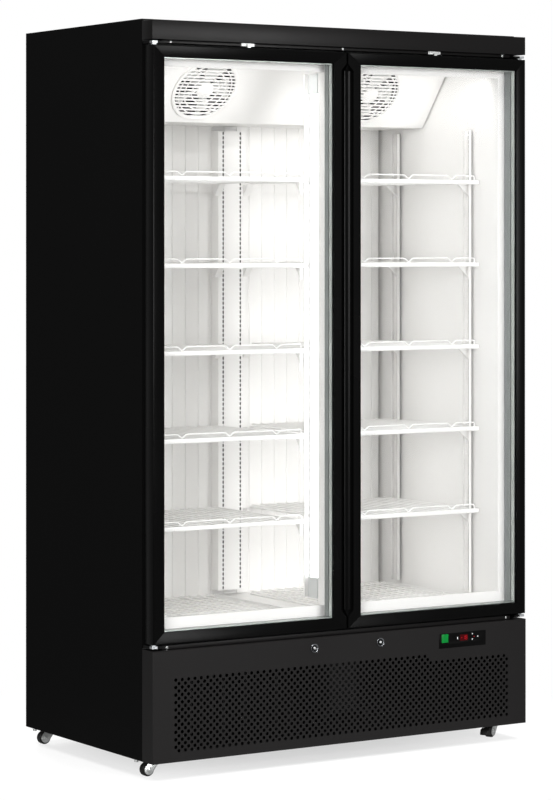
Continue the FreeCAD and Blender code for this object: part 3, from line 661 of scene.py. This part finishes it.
# Wire shelves: ten shelves and two base racks of round steel wire dipped in white polyethylene.
# A bent frame carries straight wires, welded on; a guard wire with three dips stands along the front.
# The dip coat is even and softly shining; small enamelled clips hold the shelves in the uprights.
dress(white_enamel, "shelf_clips")
coated_wire = moulded("white_polyethylene_dipped_wire", "#f5f5f3", "#edecea", 0.42, 2.5, 0.1)
shelf_l = -0.540
shelf_r = -0.050
shelf_mid = (shelf_l + shelf_r) / 2
shelf_front = -0.225
shelf_back = 0.236
tier_low = 0.645
tier_step = 0.234
wire_r = 0.002
frame_r = 0.003
wires = 17
first_wire = shelf_l + 0.014
wire_step = (shelf_r - shelf_l - 0.028) / (wires - 1)
top = -wire_r
frame_z = -2 * wire_r - frame_r
bar_l, bar_r = shelf_l + frame_r, shelf_r - frame_r
bar_front, bar_back = shelf_front + frame_r, shelf_back - frame_r
corners = [(bar_l, bar_front, frame_z), (bar_r, bar_front, frame_z),
           (bar_r, bar_back, frame_z), (bar_l, bar_back, frame_z)]
bars = [wire("frame", corners, frame_r, 0.012, True)]
brace = wire("brace_model", [(bar_l, 0, frame_z), (bar_r, 0, frame_z)], frame_r)
bars += spread(brace, "brace", [moved(0, y, 0) for y in (-0.070, 0.085)])
rod = wire("wire_model", [(first_wire, shelf_front + 0.001, -0.010), (first_wire, shelf_front + 0.001, top),
                          (first_wire, shelf_back - 0.001, top)], wire_r, 0.003)
bars += spread(rod, "wire", [moved(wire_step * n, 0, 0) for n in range(wires)])
bpy.ops.mesh.primitive_cube_add(size=1, location=(shelf_mid, shelf_front + 0.002, -0.006),
                                scale=(shelf_r - shelf_l, 0.004, 0.012))
lip = started("lip")
bevelled(lip, 0.0016)
shelf = joined("shelf_model", bars + [lip])

foot_in = 0.016
foot_z = -0.004
dip_half = 0.014
dip_z = 0.001
rise = 0.012
line = [(shelf_l + foot_in, foot_z), (shelf_l + foot_in, rise)]
for dip in (-0.150, 0.0, 0.150):
    middle = shelf_mid + dip
    line += [(middle - dip_half, rise), (middle, dip_z), (middle + dip_half, rise)]
line += [(shelf_r - foot_in, rise), (shelf_r - foot_in, foot_z)]
guard = wire("guard_model", [(x, bar_front, z) for x, z in line], wire_r, 0.004)


def side_by_side(piece, name, level):
    return [copied(piece, name, moved(shift, 0, level)) for shift in (0, -2 * shelf_mid)]


rails = []
for tier in range(5):
    level = tier_low + tier_step * tier
    pair = joined("wire_shelves_%d" % (tier + 1), side_by_side(shelf, "shelf", level))
    fitted(pair, "cabinet", "white_wire", coated_wire, "shelf_tier_%d" % (tier + 1))
    rails += side_by_side(guard, "guard", level)
fitted(joined("front_guard_wires", rails), "cabinet", "white_wire", coated_wire, "shelf_guards")
racks = joined("floor_racks", side_by_side(shelf, "rack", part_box("base_racks")[1].z))
fitted(racks, "cabinet", "white_wire", coated_wire, "base_racks")
bpy.data.objects.remove(shelf)
bpy.data.objects.remove(guard)


# Middle post and lamp: the enamelled post between the doors with a lamp housing behind it.
# The housing is extruded PVC with pressed end caps; two opal diffusers snap into it, lit from inside.
def lit(name, colour, shade, cloud_mm, rough, gloss, low, high):
    material, tree, place = new_finish(name)
    cloud, tone = clouded(tree, place, cloud_mm, 2.0, colour, shade)
    glow = add(tree, "ShaderNodeMapRange", {"Value": cloud, "To Min": low, "To Max": high})
    lens = add(tree, "ShaderNodeBsdfPrincipled",
               {"Base Color": tone, "Roughness": rough, "Specular IOR Level": gloss,
                "Emission Color": tone, "Emission Strength": glow.outputs["Result"]})
    add(tree, "ShaderNodeOutputMaterial", {"Surface": lens.outputs["BSDF"]})
    return material


# Opal diffuser: an even soft white glow with barely seen clouds; the housing is smooth and pale grey.
opal = lit("opal_polycarbonate_extruded", "#ffffff", "#f4faff", 40, 0.4, 0.5, 4.3, 4.7)
lamp_grey = moulded("grey_pvc_extruded", "#d9dbda", "#cfd1d0", 0.4, 1.0, 0.08)
dress(white_enamel, "center_mullion")
dress(opal, "lamp_diffusers")
dress(lamp_grey, "mullion_lamp")


# Doors: black frames of four mitred rails; the meeting stiles are hollowed into one half-round grip.
# Extruded aluminium, mitred, screwed at the corners and powder-coated a deep black with a low shine.
def rail_cut(stile, front, radius, low, high):
    bpy.ops.mesh.primitive_cylinder_add(vertices=48, radius=radius, depth=high - low,
                                        location=(0, front, (low + high) / 2))
    cutter = started("cutter")
    for end, way in ((high, 1), (low, -1)):
        pick(cutter, "FACE", lambda c, n: abs(c.z - end) < 1e-4 and abs(n.z) > 0.9)
        pulled((0, 0, way * radius))
        bpy.ops.transform.resize(value=(0.05, 0.05, 1))
    only(stile)
    hollow = stile.modifiers.new("hollow", "BOOLEAN")
    hollow.operation = "DIFFERENCE"
    hollow.solver = "EXACT"
    hollow.object = cutter
    bpy.ops.object.modifier_apply(modifier="hollow")
    bpy.data.objects.remove(cutter)


rail_black = powder_coat("powder_coated_aluminium_extruded", "#050505", "#070707", 1.2, 0.26, 0.05)
rail_w = 0.0325
meet_w = 0.041
grip_r = 0.020
grip_end = 0.030
rail_edge = 0.0026
for side, way in (("left", -1), ("right", 1)):
    low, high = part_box(side + "_door_frame")
    front = low.y
    bpy.ops.mesh.primitive_plane_add(size=1, rotation=stood_up)
    bpy.context.object.scale = (high.x - low.x, high.z - low.z, 1)
    bpy.context.object.location = ((low.x + high.x) / 2, front, (low.z + high.z) / 2)
    sheet = started("door_frame")
    opened(sheet)
    bpy.ops.mesh.inset(thickness=rail_w)
    bpy.ops.mesh.delete(type="FACE")
    meet, outer = (high.x, low.x) if way < 0 else (low.x, high.x)
    pick(sheet, "VERT", lambda p: abs(p.x - (meet + way * rail_w)) < 1e-4)
    bpy.ops.transform.translate(value=(way * (meet_w - rail_w), 0, 0))
    pick(sheet, "EDGE", lambda a, b: abs(a.x - b.x) > 0.02 and abs(a.z - b.z) > 0.02)
    bpy.ops.mesh.edge_split(type="EDGE")
    everything()
    pulled((0, high.y - low.y, 0))
    everything()
    bpy.ops.mesh.normals_make_consistent(inside=False)
    bpy.ops.mesh.separate(type="LOOSE")
    done()
    four = list(bpy.context.selected_objects)
    for rail in four:
        xs = [corner.co.x for corner in rail.data.vertices]
        if min(abs(x - meet) for x in xs) < 1e-4 and max(xs) - min(xs) < 0.06:
            rail_cut(rail, front, grip_r, low.z + grip_end + grip_r, high.z - grip_end - grip_r)
    for rail in four:
        pick(rail, "EDGE", lambda a, b: both_at(a, b, 1, front) and (
            both_at(a, b, 2, low.z) or both_at(a, b, 2, high.z) or both_at(a, b, 0, outer)))
        bpy.ops.mesh.bevel(offset=rail_edge, segments=1, affect="EDGES")
        done()
        bevelled(rail, 0.0005, 32, 2)
    fitted(joined(side + "_door_rails", four), side + "_door", "door_black", rail_black, side + "_door_frame")


# Glazing beads: grey strips that hold the glass from behind, between the rails and the gasket.
# Extruded PVC, smooth with a mild shine, mitred and clipped into the back of the door frame.
bead_grey = moulded("grey_pvc_bead_extruded", "#868b89", "#797e7c", 0.35, 1.2, 0.1)
bead_t = 0.0012
for side, way in (("left", -1), ("right", 1)):
    low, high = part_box(side + "_door_frame")
    glass_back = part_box(side + "_door_glass")[1].y
    bead_l = low.x + (rail_w if way < 0 else meet_w)
    bead_r = high.x - (meet_w if way < 0 else rail_w)
    bpy.ops.mesh.primitive_plane_add(size=1, rotation=stood_up)
    bpy.context.object.scale = (bead_r - bead_l, high.z - low.z - 2 * rail_w, 1)
    bpy.context.object.location = ((bead_l + bead_r) / 2, glass_back, (low.z + high.z) / 2)
    bead = started(side + "_glazing_bead")
    opened(bead)
    bpy.ops.mesh.inset(thickness=bead_t)
    bpy.ops.mesh.delete(type="FACE")
    everything()
    pulled((0, high.y - glass_back, 0))
    merged(bead)
    fitted(bead, side + "_door", slots[side + "_door_gasket"], bead_grey)


# Door glass, spacer and gasket: two panes glued to an aluminium bar as one sealed unit in each door.
# The soft dull PVC gasket holds a magnet strip and is pushed into a groove at the back of the frame.
# Clear float glass: a straight-through view almost without tint, and a mirror only at low angles.
glass, tree, place = new_finish("clear_float_glass")
wave, tint = clouded(tree, place, 400, 2.0, "#ffffff", "#fdfdfd")
haze = add(tree, "ShaderNodeMapRange", {"Value": wave, "To Min": 0.01, "To Max": 0.05})
clear = add(tree, "ShaderNodeBsdfTransparent", {"Color": tint})
mirror = add(tree, "ShaderNodeBsdfGlossy", {"Color": (1, 1, 1, 1), "Roughness": haze.outputs["Result"]})
facing = add(tree, "ShaderNodeLayerWeight", {"Blend": 0.5}).outputs["Facing"]
glance = add(tree, "ShaderNodeMath", {0: facing, 1: 5.0}, operation="POWER")
shine = add(tree, "ShaderNodeMapRange", {"Value": glance.outputs["Value"], "To Min": 0.007, "To Max": 1.0})
pane = add(tree, "ShaderNodeMixShader", {0: shine.outputs["Result"], 1: clear.outputs["BSDF"],
                                         2: mirror.outputs["BSDF"]})
add(tree, "ShaderNodeOutputMaterial", {"Surface": pane.outputs["Shader"]})
spacer_metal = drawn_metal("aluminium_spacer_rolled", "#c9cfcc", "#aab2ae", 0.35, 2.0, (1, 1, 12))
gasket_grey = moulded("grey_pvc_gasket_extruded", "#8e9192", "#7c7f80", 0.55, 1.2, 0.15)
for side in ("left", "right"):
    dress(glass, side + "_door_glass")
    dress(spacer_metal, side + "_door_spacer")
    dress(gasket_grey, side + "_door_gasket")


# Hinges, door sensors and strip screws: plates with pins above and below each door, screwed to the box.
# Stamped steel, zinc plated and sprayed black with the cabinet; the outer front corner stays bright.
# Pan head screws hold the recessed strips; each sensor is a small flange with a plunger.
dress(zinc, "door_sensors")
bare_x = 0.5925
bare_y = -0.332
plate_finish, tree, place = new_finish("zinc_plated_steel_part_sprayed")
across = add(tree, "ShaderNodeSeparateXYZ", {0: place})
reach = add(tree, "ShaderNodeMath", {0: across.outputs["X"]}, operation="ABSOLUTE")
sides = add(tree, "ShaderNodeMath", {0: reach.outputs["Value"], 1: bare_x}, operation="GREATER_THAN")
ahead = add(tree, "ShaderNodeMath", {0: across.outputs["Y"], 1: bare_y}, operation="LESS_THAN")
bare = add(tree, "ShaderNodeMath", {0: sides.outputs["Value"], 1: ahead.outputs["Value"]},
           operation="MULTIPLY")
bright = clouded(tree, place, 1.5, 2.0, "#c9cbcd", "#b4b7ba")[1]
tone = add(tree, "ShaderNodeMix", {0: bare.outputs["Value"], 6: linear("#060606"), 7: bright},
           data_type="RGBA")
plate = add(tree, "ShaderNodeBsdfPrincipled",
            {"Base Color": tone.outputs[2], "Roughness": 0.4, "Specular IOR Level": 0.1,
             "Metallic": bare.outputs["Value"]})
add(tree, "ShaderNodeOutputMaterial", {"Surface": plate.outputs["BSDF"]})
dress(plate_finish, "hinge_brackets")
panel_y = -0.353
strip_y = panel_y + 0.024
strip_z = 0.344
screw_places = [(x, 1.930) for x in (-0.543, 0.0, 0.543)] + [(x, strip_z) for x in (-0.555, 0.555)]
bpy.ops.mesh.primitive_cylinder_add(vertices=24, radius=0.0034, depth=0.002, rotation=stood_up)
screw = started("screw_model")
pick(screw, "FACE", lambda c, n: n.y < -0.9)
bpy.ops.mesh.inset(thickness=0.0018)
bpy.ops.mesh.inset(thickness=0.0003, depth=-0.0008)
done()
bevelled(screw, 0.0005)
heads = spread(screw, "screw", [moved(x, strip_y - 0.001, z) for x, z in screw_places])
fitted(joined("strip_screws", heads), "cabinet", "hinge_zinc", zinc)


# Header: the black strip over the doors, a folded steel cover with its lower gap strip.
# Screwed on from above; a charcoal powder coat, satin, that picks up some light from the side.
def rounded_copy(node, width, material):
    piece = copied(nodes[node], node + "_finished", Matrix.Identity(4))
    merged(piece)
    opened(piece)
    bpy.ops.mesh.dissolve_limited(angle_limit=math.radians(0.5))
    done()
    bevelled(piece, width)
    fitted(piece, nodes[node]["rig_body"], slots[node], material, node)


charcoal = powder_coat("powder_coated_steel_charcoal", "#0c0b0b", "#0f0e0e", 1.5, 0.42, 0.16)
rounded_copy("top_fascia", 0.0012, charcoal)


# Lower panel: the ventilated front cover with staggered rows of round holes, an opening for the
# controls and two for the locks. Punched steel sheet with folded edges, screwed to the base frame.
# The charcoal powder coat is satin and a little lighter than the cabinet, so the dark holes stand out.
panel_l, panel_r = -0.610, 0.610
panel_low, panel_high = 0.045, 0.339
panel_sides = ((0, panel_l), (0, panel_r), (2, panel_low), (2, panel_high))
panel_edge = 0.0022
fold_d = 0.0565
control_w, control_h = 0.1614, 0.0414
control_x, control_z = 0.3865, 0.2975
lock_x, lock_z = 0.108, 0.311
lock_hole_r = 0.0105
pitch = 0.0195
row_h = 0.00975
hole_r = 0.0047
rows = 20
columns = 56
first_row = 0.26025
short_rows, short_end = 2, 0.2735
bpy.ops.mesh.primitive_plane_add(size=1, rotation=stood_up)
bpy.context.object.scale = (pitch, row_h, 1)
panel = started("perforated_lower_panel")
opened(panel)
bpy.ops.mesh.subdivide(number_cuts=3)
pick(panel, "VERT", lambda p: abs(p.x) < 0.4 * pitch and abs(p.z) < 0.4 * row_h)
bpy.ops.mesh.delete(type="VERT")
bpy.ops.mesh.primitive_circle_add(vertices=16, radius=hole_r, rotation=stood_up)
everything()
bpy.ops.mesh.bridge_edge_loops()
done()
repeated(panel, columns, (pitch, 0, 0))
repeated(panel, 2, (pitch / 2, 0, -row_h))
repeated(panel, rows // 2, (0, 0, -2 * row_h))
first_x = -(columns - 1) / 2 * pitch - pitch / 4
panel.data.transform(moved(first_x, panel_y, first_row))
opened(panel)
bpy.ops.mesh.remove_doubles(threshold=1e-5)
done()


def beside_hole(p):
    row = round((first_row - p.z) / row_h)
    if row < short_rows and p.x > short_end:
        return False
    start = first_x + (pitch / 2 if row % 2 else 0)
    across = p.x - start - pitch * round((p.x - start) / pitch)
    return math.hypot(across, p.z - first_row + row * row_h) < hole_r + 2e-4


bpy.ops.object.mode_set(mode="EDIT")
for size_x, size_z, x, z in ((panel_r - panel_l, panel_high - panel_low, 0, (panel_low + panel_high) / 2),
                             (control_w, control_h, control_x, control_z)):
    bpy.ops.mesh.primitive_plane_add(size=1, location=(x, panel_y, z), rotation=stood_up)
    bpy.ops.transform.resize(value=(size_x, 1, size_z))
    bpy.ops.mesh.delete(type="ONLY_FACE")
for x in (-lock_x, lock_x):
    bpy.ops.mesh.primitive_circle_add(vertices=32, radius=lock_hole_r, location=(x, panel_y, lock_z),
                                      rotation=stood_up)
done()
used = {}
for face in panel.data.polygons:
    for key in face.edge_keys:
        used[key] = used.get(key, 0) + 1
numbers = {tuple(corner.co): corner.index for corner in panel.data.vertices}


def open_edge(a, b):
    faces = used.get(tuple(sorted((numbers[tuple(a)], numbers[tuple(b)]))), 0)
    return faces == 0 or (faces == 1 and not (beside_hole(a) and beside_hole(b)))


pick(panel, "EDGE", open_edge)
bpy.ops.mesh.fill(use_beauty=True)
done()
pick(panel, "FACE", lambda c, n: n.y > 0)
bpy.ops.mesh.flip_normals()
pick(panel, "EDGE", lambda a, b: any(both_at(a, b, axis, value) for axis, value in panel_sides))
bpy.ops.mesh.extrude_edges_move(TRANSFORM_OT_translate={"value": (0, fold_d, 0)})
pick(panel, "EDGE", lambda a, b: both_at(a, b, 1, panel_y)
     and any(both_at(a, b, axis, value) for axis, value in panel_sides))
bpy.ops.mesh.bevel(offset=panel_edge, segments=1, affect="EDGES")
done()
thickened(panel, sheet_t, -1)
smooth(panel, 40)
panel_coat = powder_coat("powder_coated_steel_punched", "#171616", "#1b1a1a", 1.5, 0.45, 0.10)
bpy.ops.mesh.primitive_cube_add(size=1, location=(0, strip_y + 0.002, strip_z),
                                scale=(2 * (panel_r - 0.040), 0.004, 0.0095))
gap_strip = started("lower_gap_strip")
bevelled(gap_strip, 0.0006)
fitted(gap_strip, "cabinet", slots["front_grille"], panel_coat)
fitted(panel, "cabinet", slots["front_grille"], panel_coat, "front_grille")


# Locks: a chromed ring with a turning plug under each door's meeting corner.
# Turned brass, polished and chromed, with bright hard glints; the ring is pressed through the panel.
# The plug is coloured near black, a painted shade for the lock's recess, and the round key face in it is zinc
# plated.
chrome = drawn_metal("chromed_brass_turned", "#8b8d90", "#747679", 0.18, 1.5, (1, 1, 1))
lock_plug_painted_shade = drawn_metal("dark_steel_turned_painted_shade", "#1c1c1d", "#141415", 0.35, 1.5, (1, 1, 1))
bpy.ops.mesh.primitive_cylinder_add(vertices=64, radius=0.012, depth=0.008, rotation=stood_up)
ring = started("lock_ring_model")
pick(ring, "FACE", lambda c, n: n.y < -0.9)
bpy.ops.mesh.inset(thickness=0.0012, depth=0.0)
bpy.ops.mesh.inset(thickness=0.0022, depth=-0.0016)
bpy.ops.mesh.inset(thickness=0.0004, depth=-0.0030)
done()
bevelled(ring, 0.0004, 30, 2)
rings = spread(ring, "lock_ring", [moved(x, panel_y + 0.001, lock_z) for x in (-lock_x, lock_x)])
fitted(joined("lock_rings", rings), "cabinet", "lock_chrome", chrome, "lock_housings")
dress(lock_plug_painted_shade, "left_lock_plug", "right_lock_plug")
bpy.ops.mesh.primitive_cylinder_add(vertices=32, radius=0.0036, depth=0.0026, rotation=stood_up)
pin = started("key_face_model")
pick(pin, "FACE", lambda c, n: n.y < -0.9)
bpy.ops.mesh.inset(thickness=0.0026)
bpy.ops.mesh.inset(thickness=0.0001, depth=-0.0012)
done()
bevelled(pin, 0.0008, 30, 3)
for side, x in (("left", -lock_x), ("right", lock_x)):
    face_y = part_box(side + "_lock_plug")[0].y - 0.0008
    key_face = copied(pin, side + "_key_face", moved(x, face_y, lock_z))
    fitted(key_face, side + "_lock_plug", "lock_chrome", zinc)
bpy.data.objects.remove(pin)


# Controls: a black moulded bezel with a green rocker switch, a red figure display and four keys.
# ABS mouldings snapped together and into the lower panel; the keys are one silicone mat with white print.
# The mouldings are dull black with a fine grain; the figures glow through a dark red acrylic window.
abs_black = moulded("black_abs_moulded", "#060606", "#090909", 0.4, 0.7, 0.12, 0.05)
key_grey = moulded("silicone_key_moulded", "#0b0b0b", "#111111", 0.55, 0.6, 0.12, 0.1)
mark_white = moulded("white_ink_printed", "#e9ebec", "#dfe2e3", 0.5, 0.5, 0.05)
rounded_copy("control_bezel", 0.0010, abs_black)
for key in ("key_set", "key_up", "key_down", "key_light"):
    rounded_copy(key, 0.0004, key_grey)

# Lit green rocker: clear green plastic with a lamp inside, so the colour glows a little in the shade.
rocker_green = lit("green_polycarbonate_moulded_lit", "#046024", "#087a30", 18, 0.25, 0.15, 0.10, 0.30)
rounded_copy("power_switch", 0.0010, rocker_green)

# Display glow: a dark red window that lights up round the figures.
window_red = lit("red_acrylic_cast_window", "#2c0406", "#3c0609", 12, 0.15, 0.08, 0.4, 0.6)
figure_red = lit("red_epoxy_cast_segment", "#8f1118", "#a0181f", 12, 0.15, 0.08, 0.4, 0.6)
dress(window_red, "display_window")


def flat_mark(name, sides, width, height, turn, x, y, z):
    bpy.ops.mesh.primitive_circle_add(vertices=sides, radius=0.5, fill_type="NGON",
                                      rotation=(math.pi / 2, turn, 0))
    mark = started(name)
    opened(mark)
    bpy.ops.transform.resize(value=(width, 1, height), center_override=(0, 0, 0))
    pulled((0, -0.0002, 0))
    everything()
    bpy.ops.mesh.normals_make_consistent(inside=False)
    bpy.ops.transform.translate(value=(x, y, z))
    done()
    return mark


digit_w = 0.0052
digit_h = 0.0105
digit_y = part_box("display_window")[0].y - 0.0002
digit_z = 0.3025
stroke = 0.0015
level_bars = (("a", 0.5), ("g", 0.0), ("d", -0.5))
tall_bars = (("b", 0.5, 0.25), ("c", 0.5, -0.25), ("e", -0.5, -0.25), ("f", -0.5, 0.25))
segments = []
for x, strokes in ((0.3845, "g"), (0.3920, "bc"), (0.3995, "abcdefg")):
    for name, level in level_bars:
        if name in strokes:
            segments.append(flat_mark("segment", 6, digit_w * 0.82, stroke, math.pi / 2, x, digit_y,
                                      digit_z + level * digit_h))
    for name, hand, level in tall_bars:
        if name in strokes:
            segments.append(flat_mark("segment", 6, stroke, digit_h * 0.44, 0, x + hand * digit_w, digit_y,
                                      digit_z + level * digit_h))
fitted(joined("display_figures", segments), "cabinet", "display_red", figure_red)

bpy.ops.mesh.primitive_uv_sphere_add(segments=16, ring_count=8, radius=0.0013,
                                     location=(0.427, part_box("control_bezel")[0].y, 0.303))
lamp_dot = started("indicator_lamp")
smooth(lamp_dot, 60)
fitted(lamp_dot, "cabinet", "display_red", figure_red)

for key, sides, width, height, turn in (
        ("key_set", 4, 0.0036, 0.0092, math.pi / 4), ("key_up", 3, 0.0044, 0.0044, 0),
        ("key_down", 3, 0.0044, 0.0044, math.pi), ("key_light", 12, 0.0034, 0.0034, 0)):
    low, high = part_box(key)
    mark = flat_mark(key + "_mark", sides, width, height, turn, (low.x + high.x) / 2, low.y - 0.0001,
                     (low.z + high.z) / 2)
    fitted(mark, key, "key_grey", mark_white)


# Rear cover: slotted sheet over the machine space, with louvre blades inside the slots.
# Punched steel in the back's rough black coat, screwed on; the blades lean inward and hide the machine.
dress(back_coat, "rear_grille")
louvre_low = 0.084
louvre_pitch = 0.032
louvre_x = 0.28
louvre_y = 0.3470
bpy.ops.mesh.primitive_cube_add(size=1, scale=(0.494, 0.0010, 0.019), rotation=(math.radians(-40), 0, 0))
louvre = started("louvre_model")
louvres = spread(louvre, "louvre", [moved(x, louvre_y, louvre_low + n * louvre_pitch)
                                    for n in range(7) for x in (-louvre_x, louvre_x)])
fitted(joined("rear_louvres", louvres), "cabinet", "charcoal_paint", skin_black)


# Studio: a pale paper floor, a white surround and soft boxes in front, above, behind and to the left.
# Some lamps only light and some are only mirrored; two small tubes light the inside from under the top.
# The camera stands where the photograph was taken from.
bpy.ops.mesh.primitive_plane_add(size=60, location=(0, 0, 0))
floor = started("studio_floor")
floor_pale, tree, place = new_finish("paper_calendered_pale")
tone = clouded(tree, place, 1000 / 0.6, 2.0, "#fbfbfb", "#f7f7f7")[1]
paper = add(tree, "ShaderNodeBsdfPrincipled",
            {"Base Color": tone, "Roughness": 0.9, "Specular IOR Level": 0.0})
away = add(tree, "ShaderNodeVectorMath", {0: place}, operation="LENGTH")
far_off = add(tree, "ShaderNodeMapRange",
              {"Value": away.outputs["Value"], "From Min": 0.2, "From Max": 1.2, "To Min": 0.6},
              interpolation_type="SMOOTHSTEP")
seen = add(tree, "ShaderNodeLightPath", {}).outputs["Is Camera Ray"]
level = add(tree, "ShaderNodeMapRange", {"Value": seen, "To Min": 0.3, "To Max": 1.0})
sweep = add(tree, "ShaderNodeEmission", {"Color": (1, 1, 1, 1), "Strength": level.outputs["Result"]})
ground = add(tree, "ShaderNodeMixShader", {0: far_off.outputs["Result"], 1: paper.outputs["BSDF"],
                                           2: sweep.outputs["Emission"]})
add(tree, "ShaderNodeOutputMaterial", {"Surface": ground.outputs["Shader"]})
floor.data.materials.append(floor_pale)

world = bpy.data.worlds.new("studio_surround")
bpy.context.scene.world = world
world.use_nodes = True
tree = world.node_tree
tree.nodes.clear()
seen = add(tree, "ShaderNodeLightPath", {}).outputs["Is Camera Ray"]
air = add(tree, "ShaderNodeMapRange", {"Value": seen, "To Min": 0.25, "To Max": 1.0})
glow = add(tree, "ShaderNodeBackground", {"Color": (1, 1, 1, 1), "Strength": air.outputs["Result"]})
add(tree, "ShaderNodeOutputWorld", {"Surface": glow.outputs["Background"]})

for name, spot, aim, width, height, power, mirrored, lighting in (
        ("soft_box_right", (1.2, -7.0, 1.8), (0, 0, 1.0), 2.4, 2.6, 285, False, True),
        ("soft_box_left", (-4.8, -5.2, 1.9), (0, 0, 1.0), 2.0, 2.6, 240, False, True),
        ("edge_light_left", (-5.6, -3.6, 1.9), (0, 0, 1.0), 2.0, 2.6, 280, True, False),
        ("soft_box_above", (0.0, -0.6, 6.0), (0, 0, 0), 7.0, 7.0, 700, False, True),
        ("strip_light", (1.5, -6.9, 1.75), (0, 0, 1.3), 1.2, 3.0, 260, True, False),
        ("soft_box_back", (1.6, 6.0, 3.4), (0, 0, 1.0), 2.4, 2.4, 500, False, True),
        ("top_tube_left", (-0.29, -0.272, 1.856), (-0.29, 0.10, 1.60), 0.44, 0.02, 0.45, False, True),
        ("top_tube_right", (0.29, -0.272, 1.856), (0.29, 0.10, 1.60), 0.44, 0.02, 0.45, False, True)):
    data = bpy.data.lights.new(name, "AREA")
    data.shape = "RECTANGLE"
    data.size = width
    data.size_y = height
    data.energy = power
    lamp = bpy.data.objects.new(name, data)
    bpy.context.scene.collection.objects.link(lamp)
    lamp.location = spot
    lamp.rotation_euler = (Vector(aim) - Vector(spot)).to_track_quat("-Z", "Y").to_euler()
    lamp.visible_camera = False
    lamp.visible_glossy = mirrored
    lamp.visible_diffuse = lighting

eye = bpy.data.cameras.new("photo_camera")
eye.sensor_fit = "VERTICAL"
eye.sensor_height = 36.0
eye.lens = 129.519
eye.shift_y = -0.19965
camera = bpy.data.objects.new("photo_camera", eye)
bpy.context.scene.collection.objects.link(camera)
camera.location = (-4.3770, -6.8274, 1.40965)
camera.rotation_euler = (math.pi / 2, 0, math.radians(-32.648))
bpy.context.scene.camera = camera
bpy.context.scene.view_settings.view_transform = "Standard"
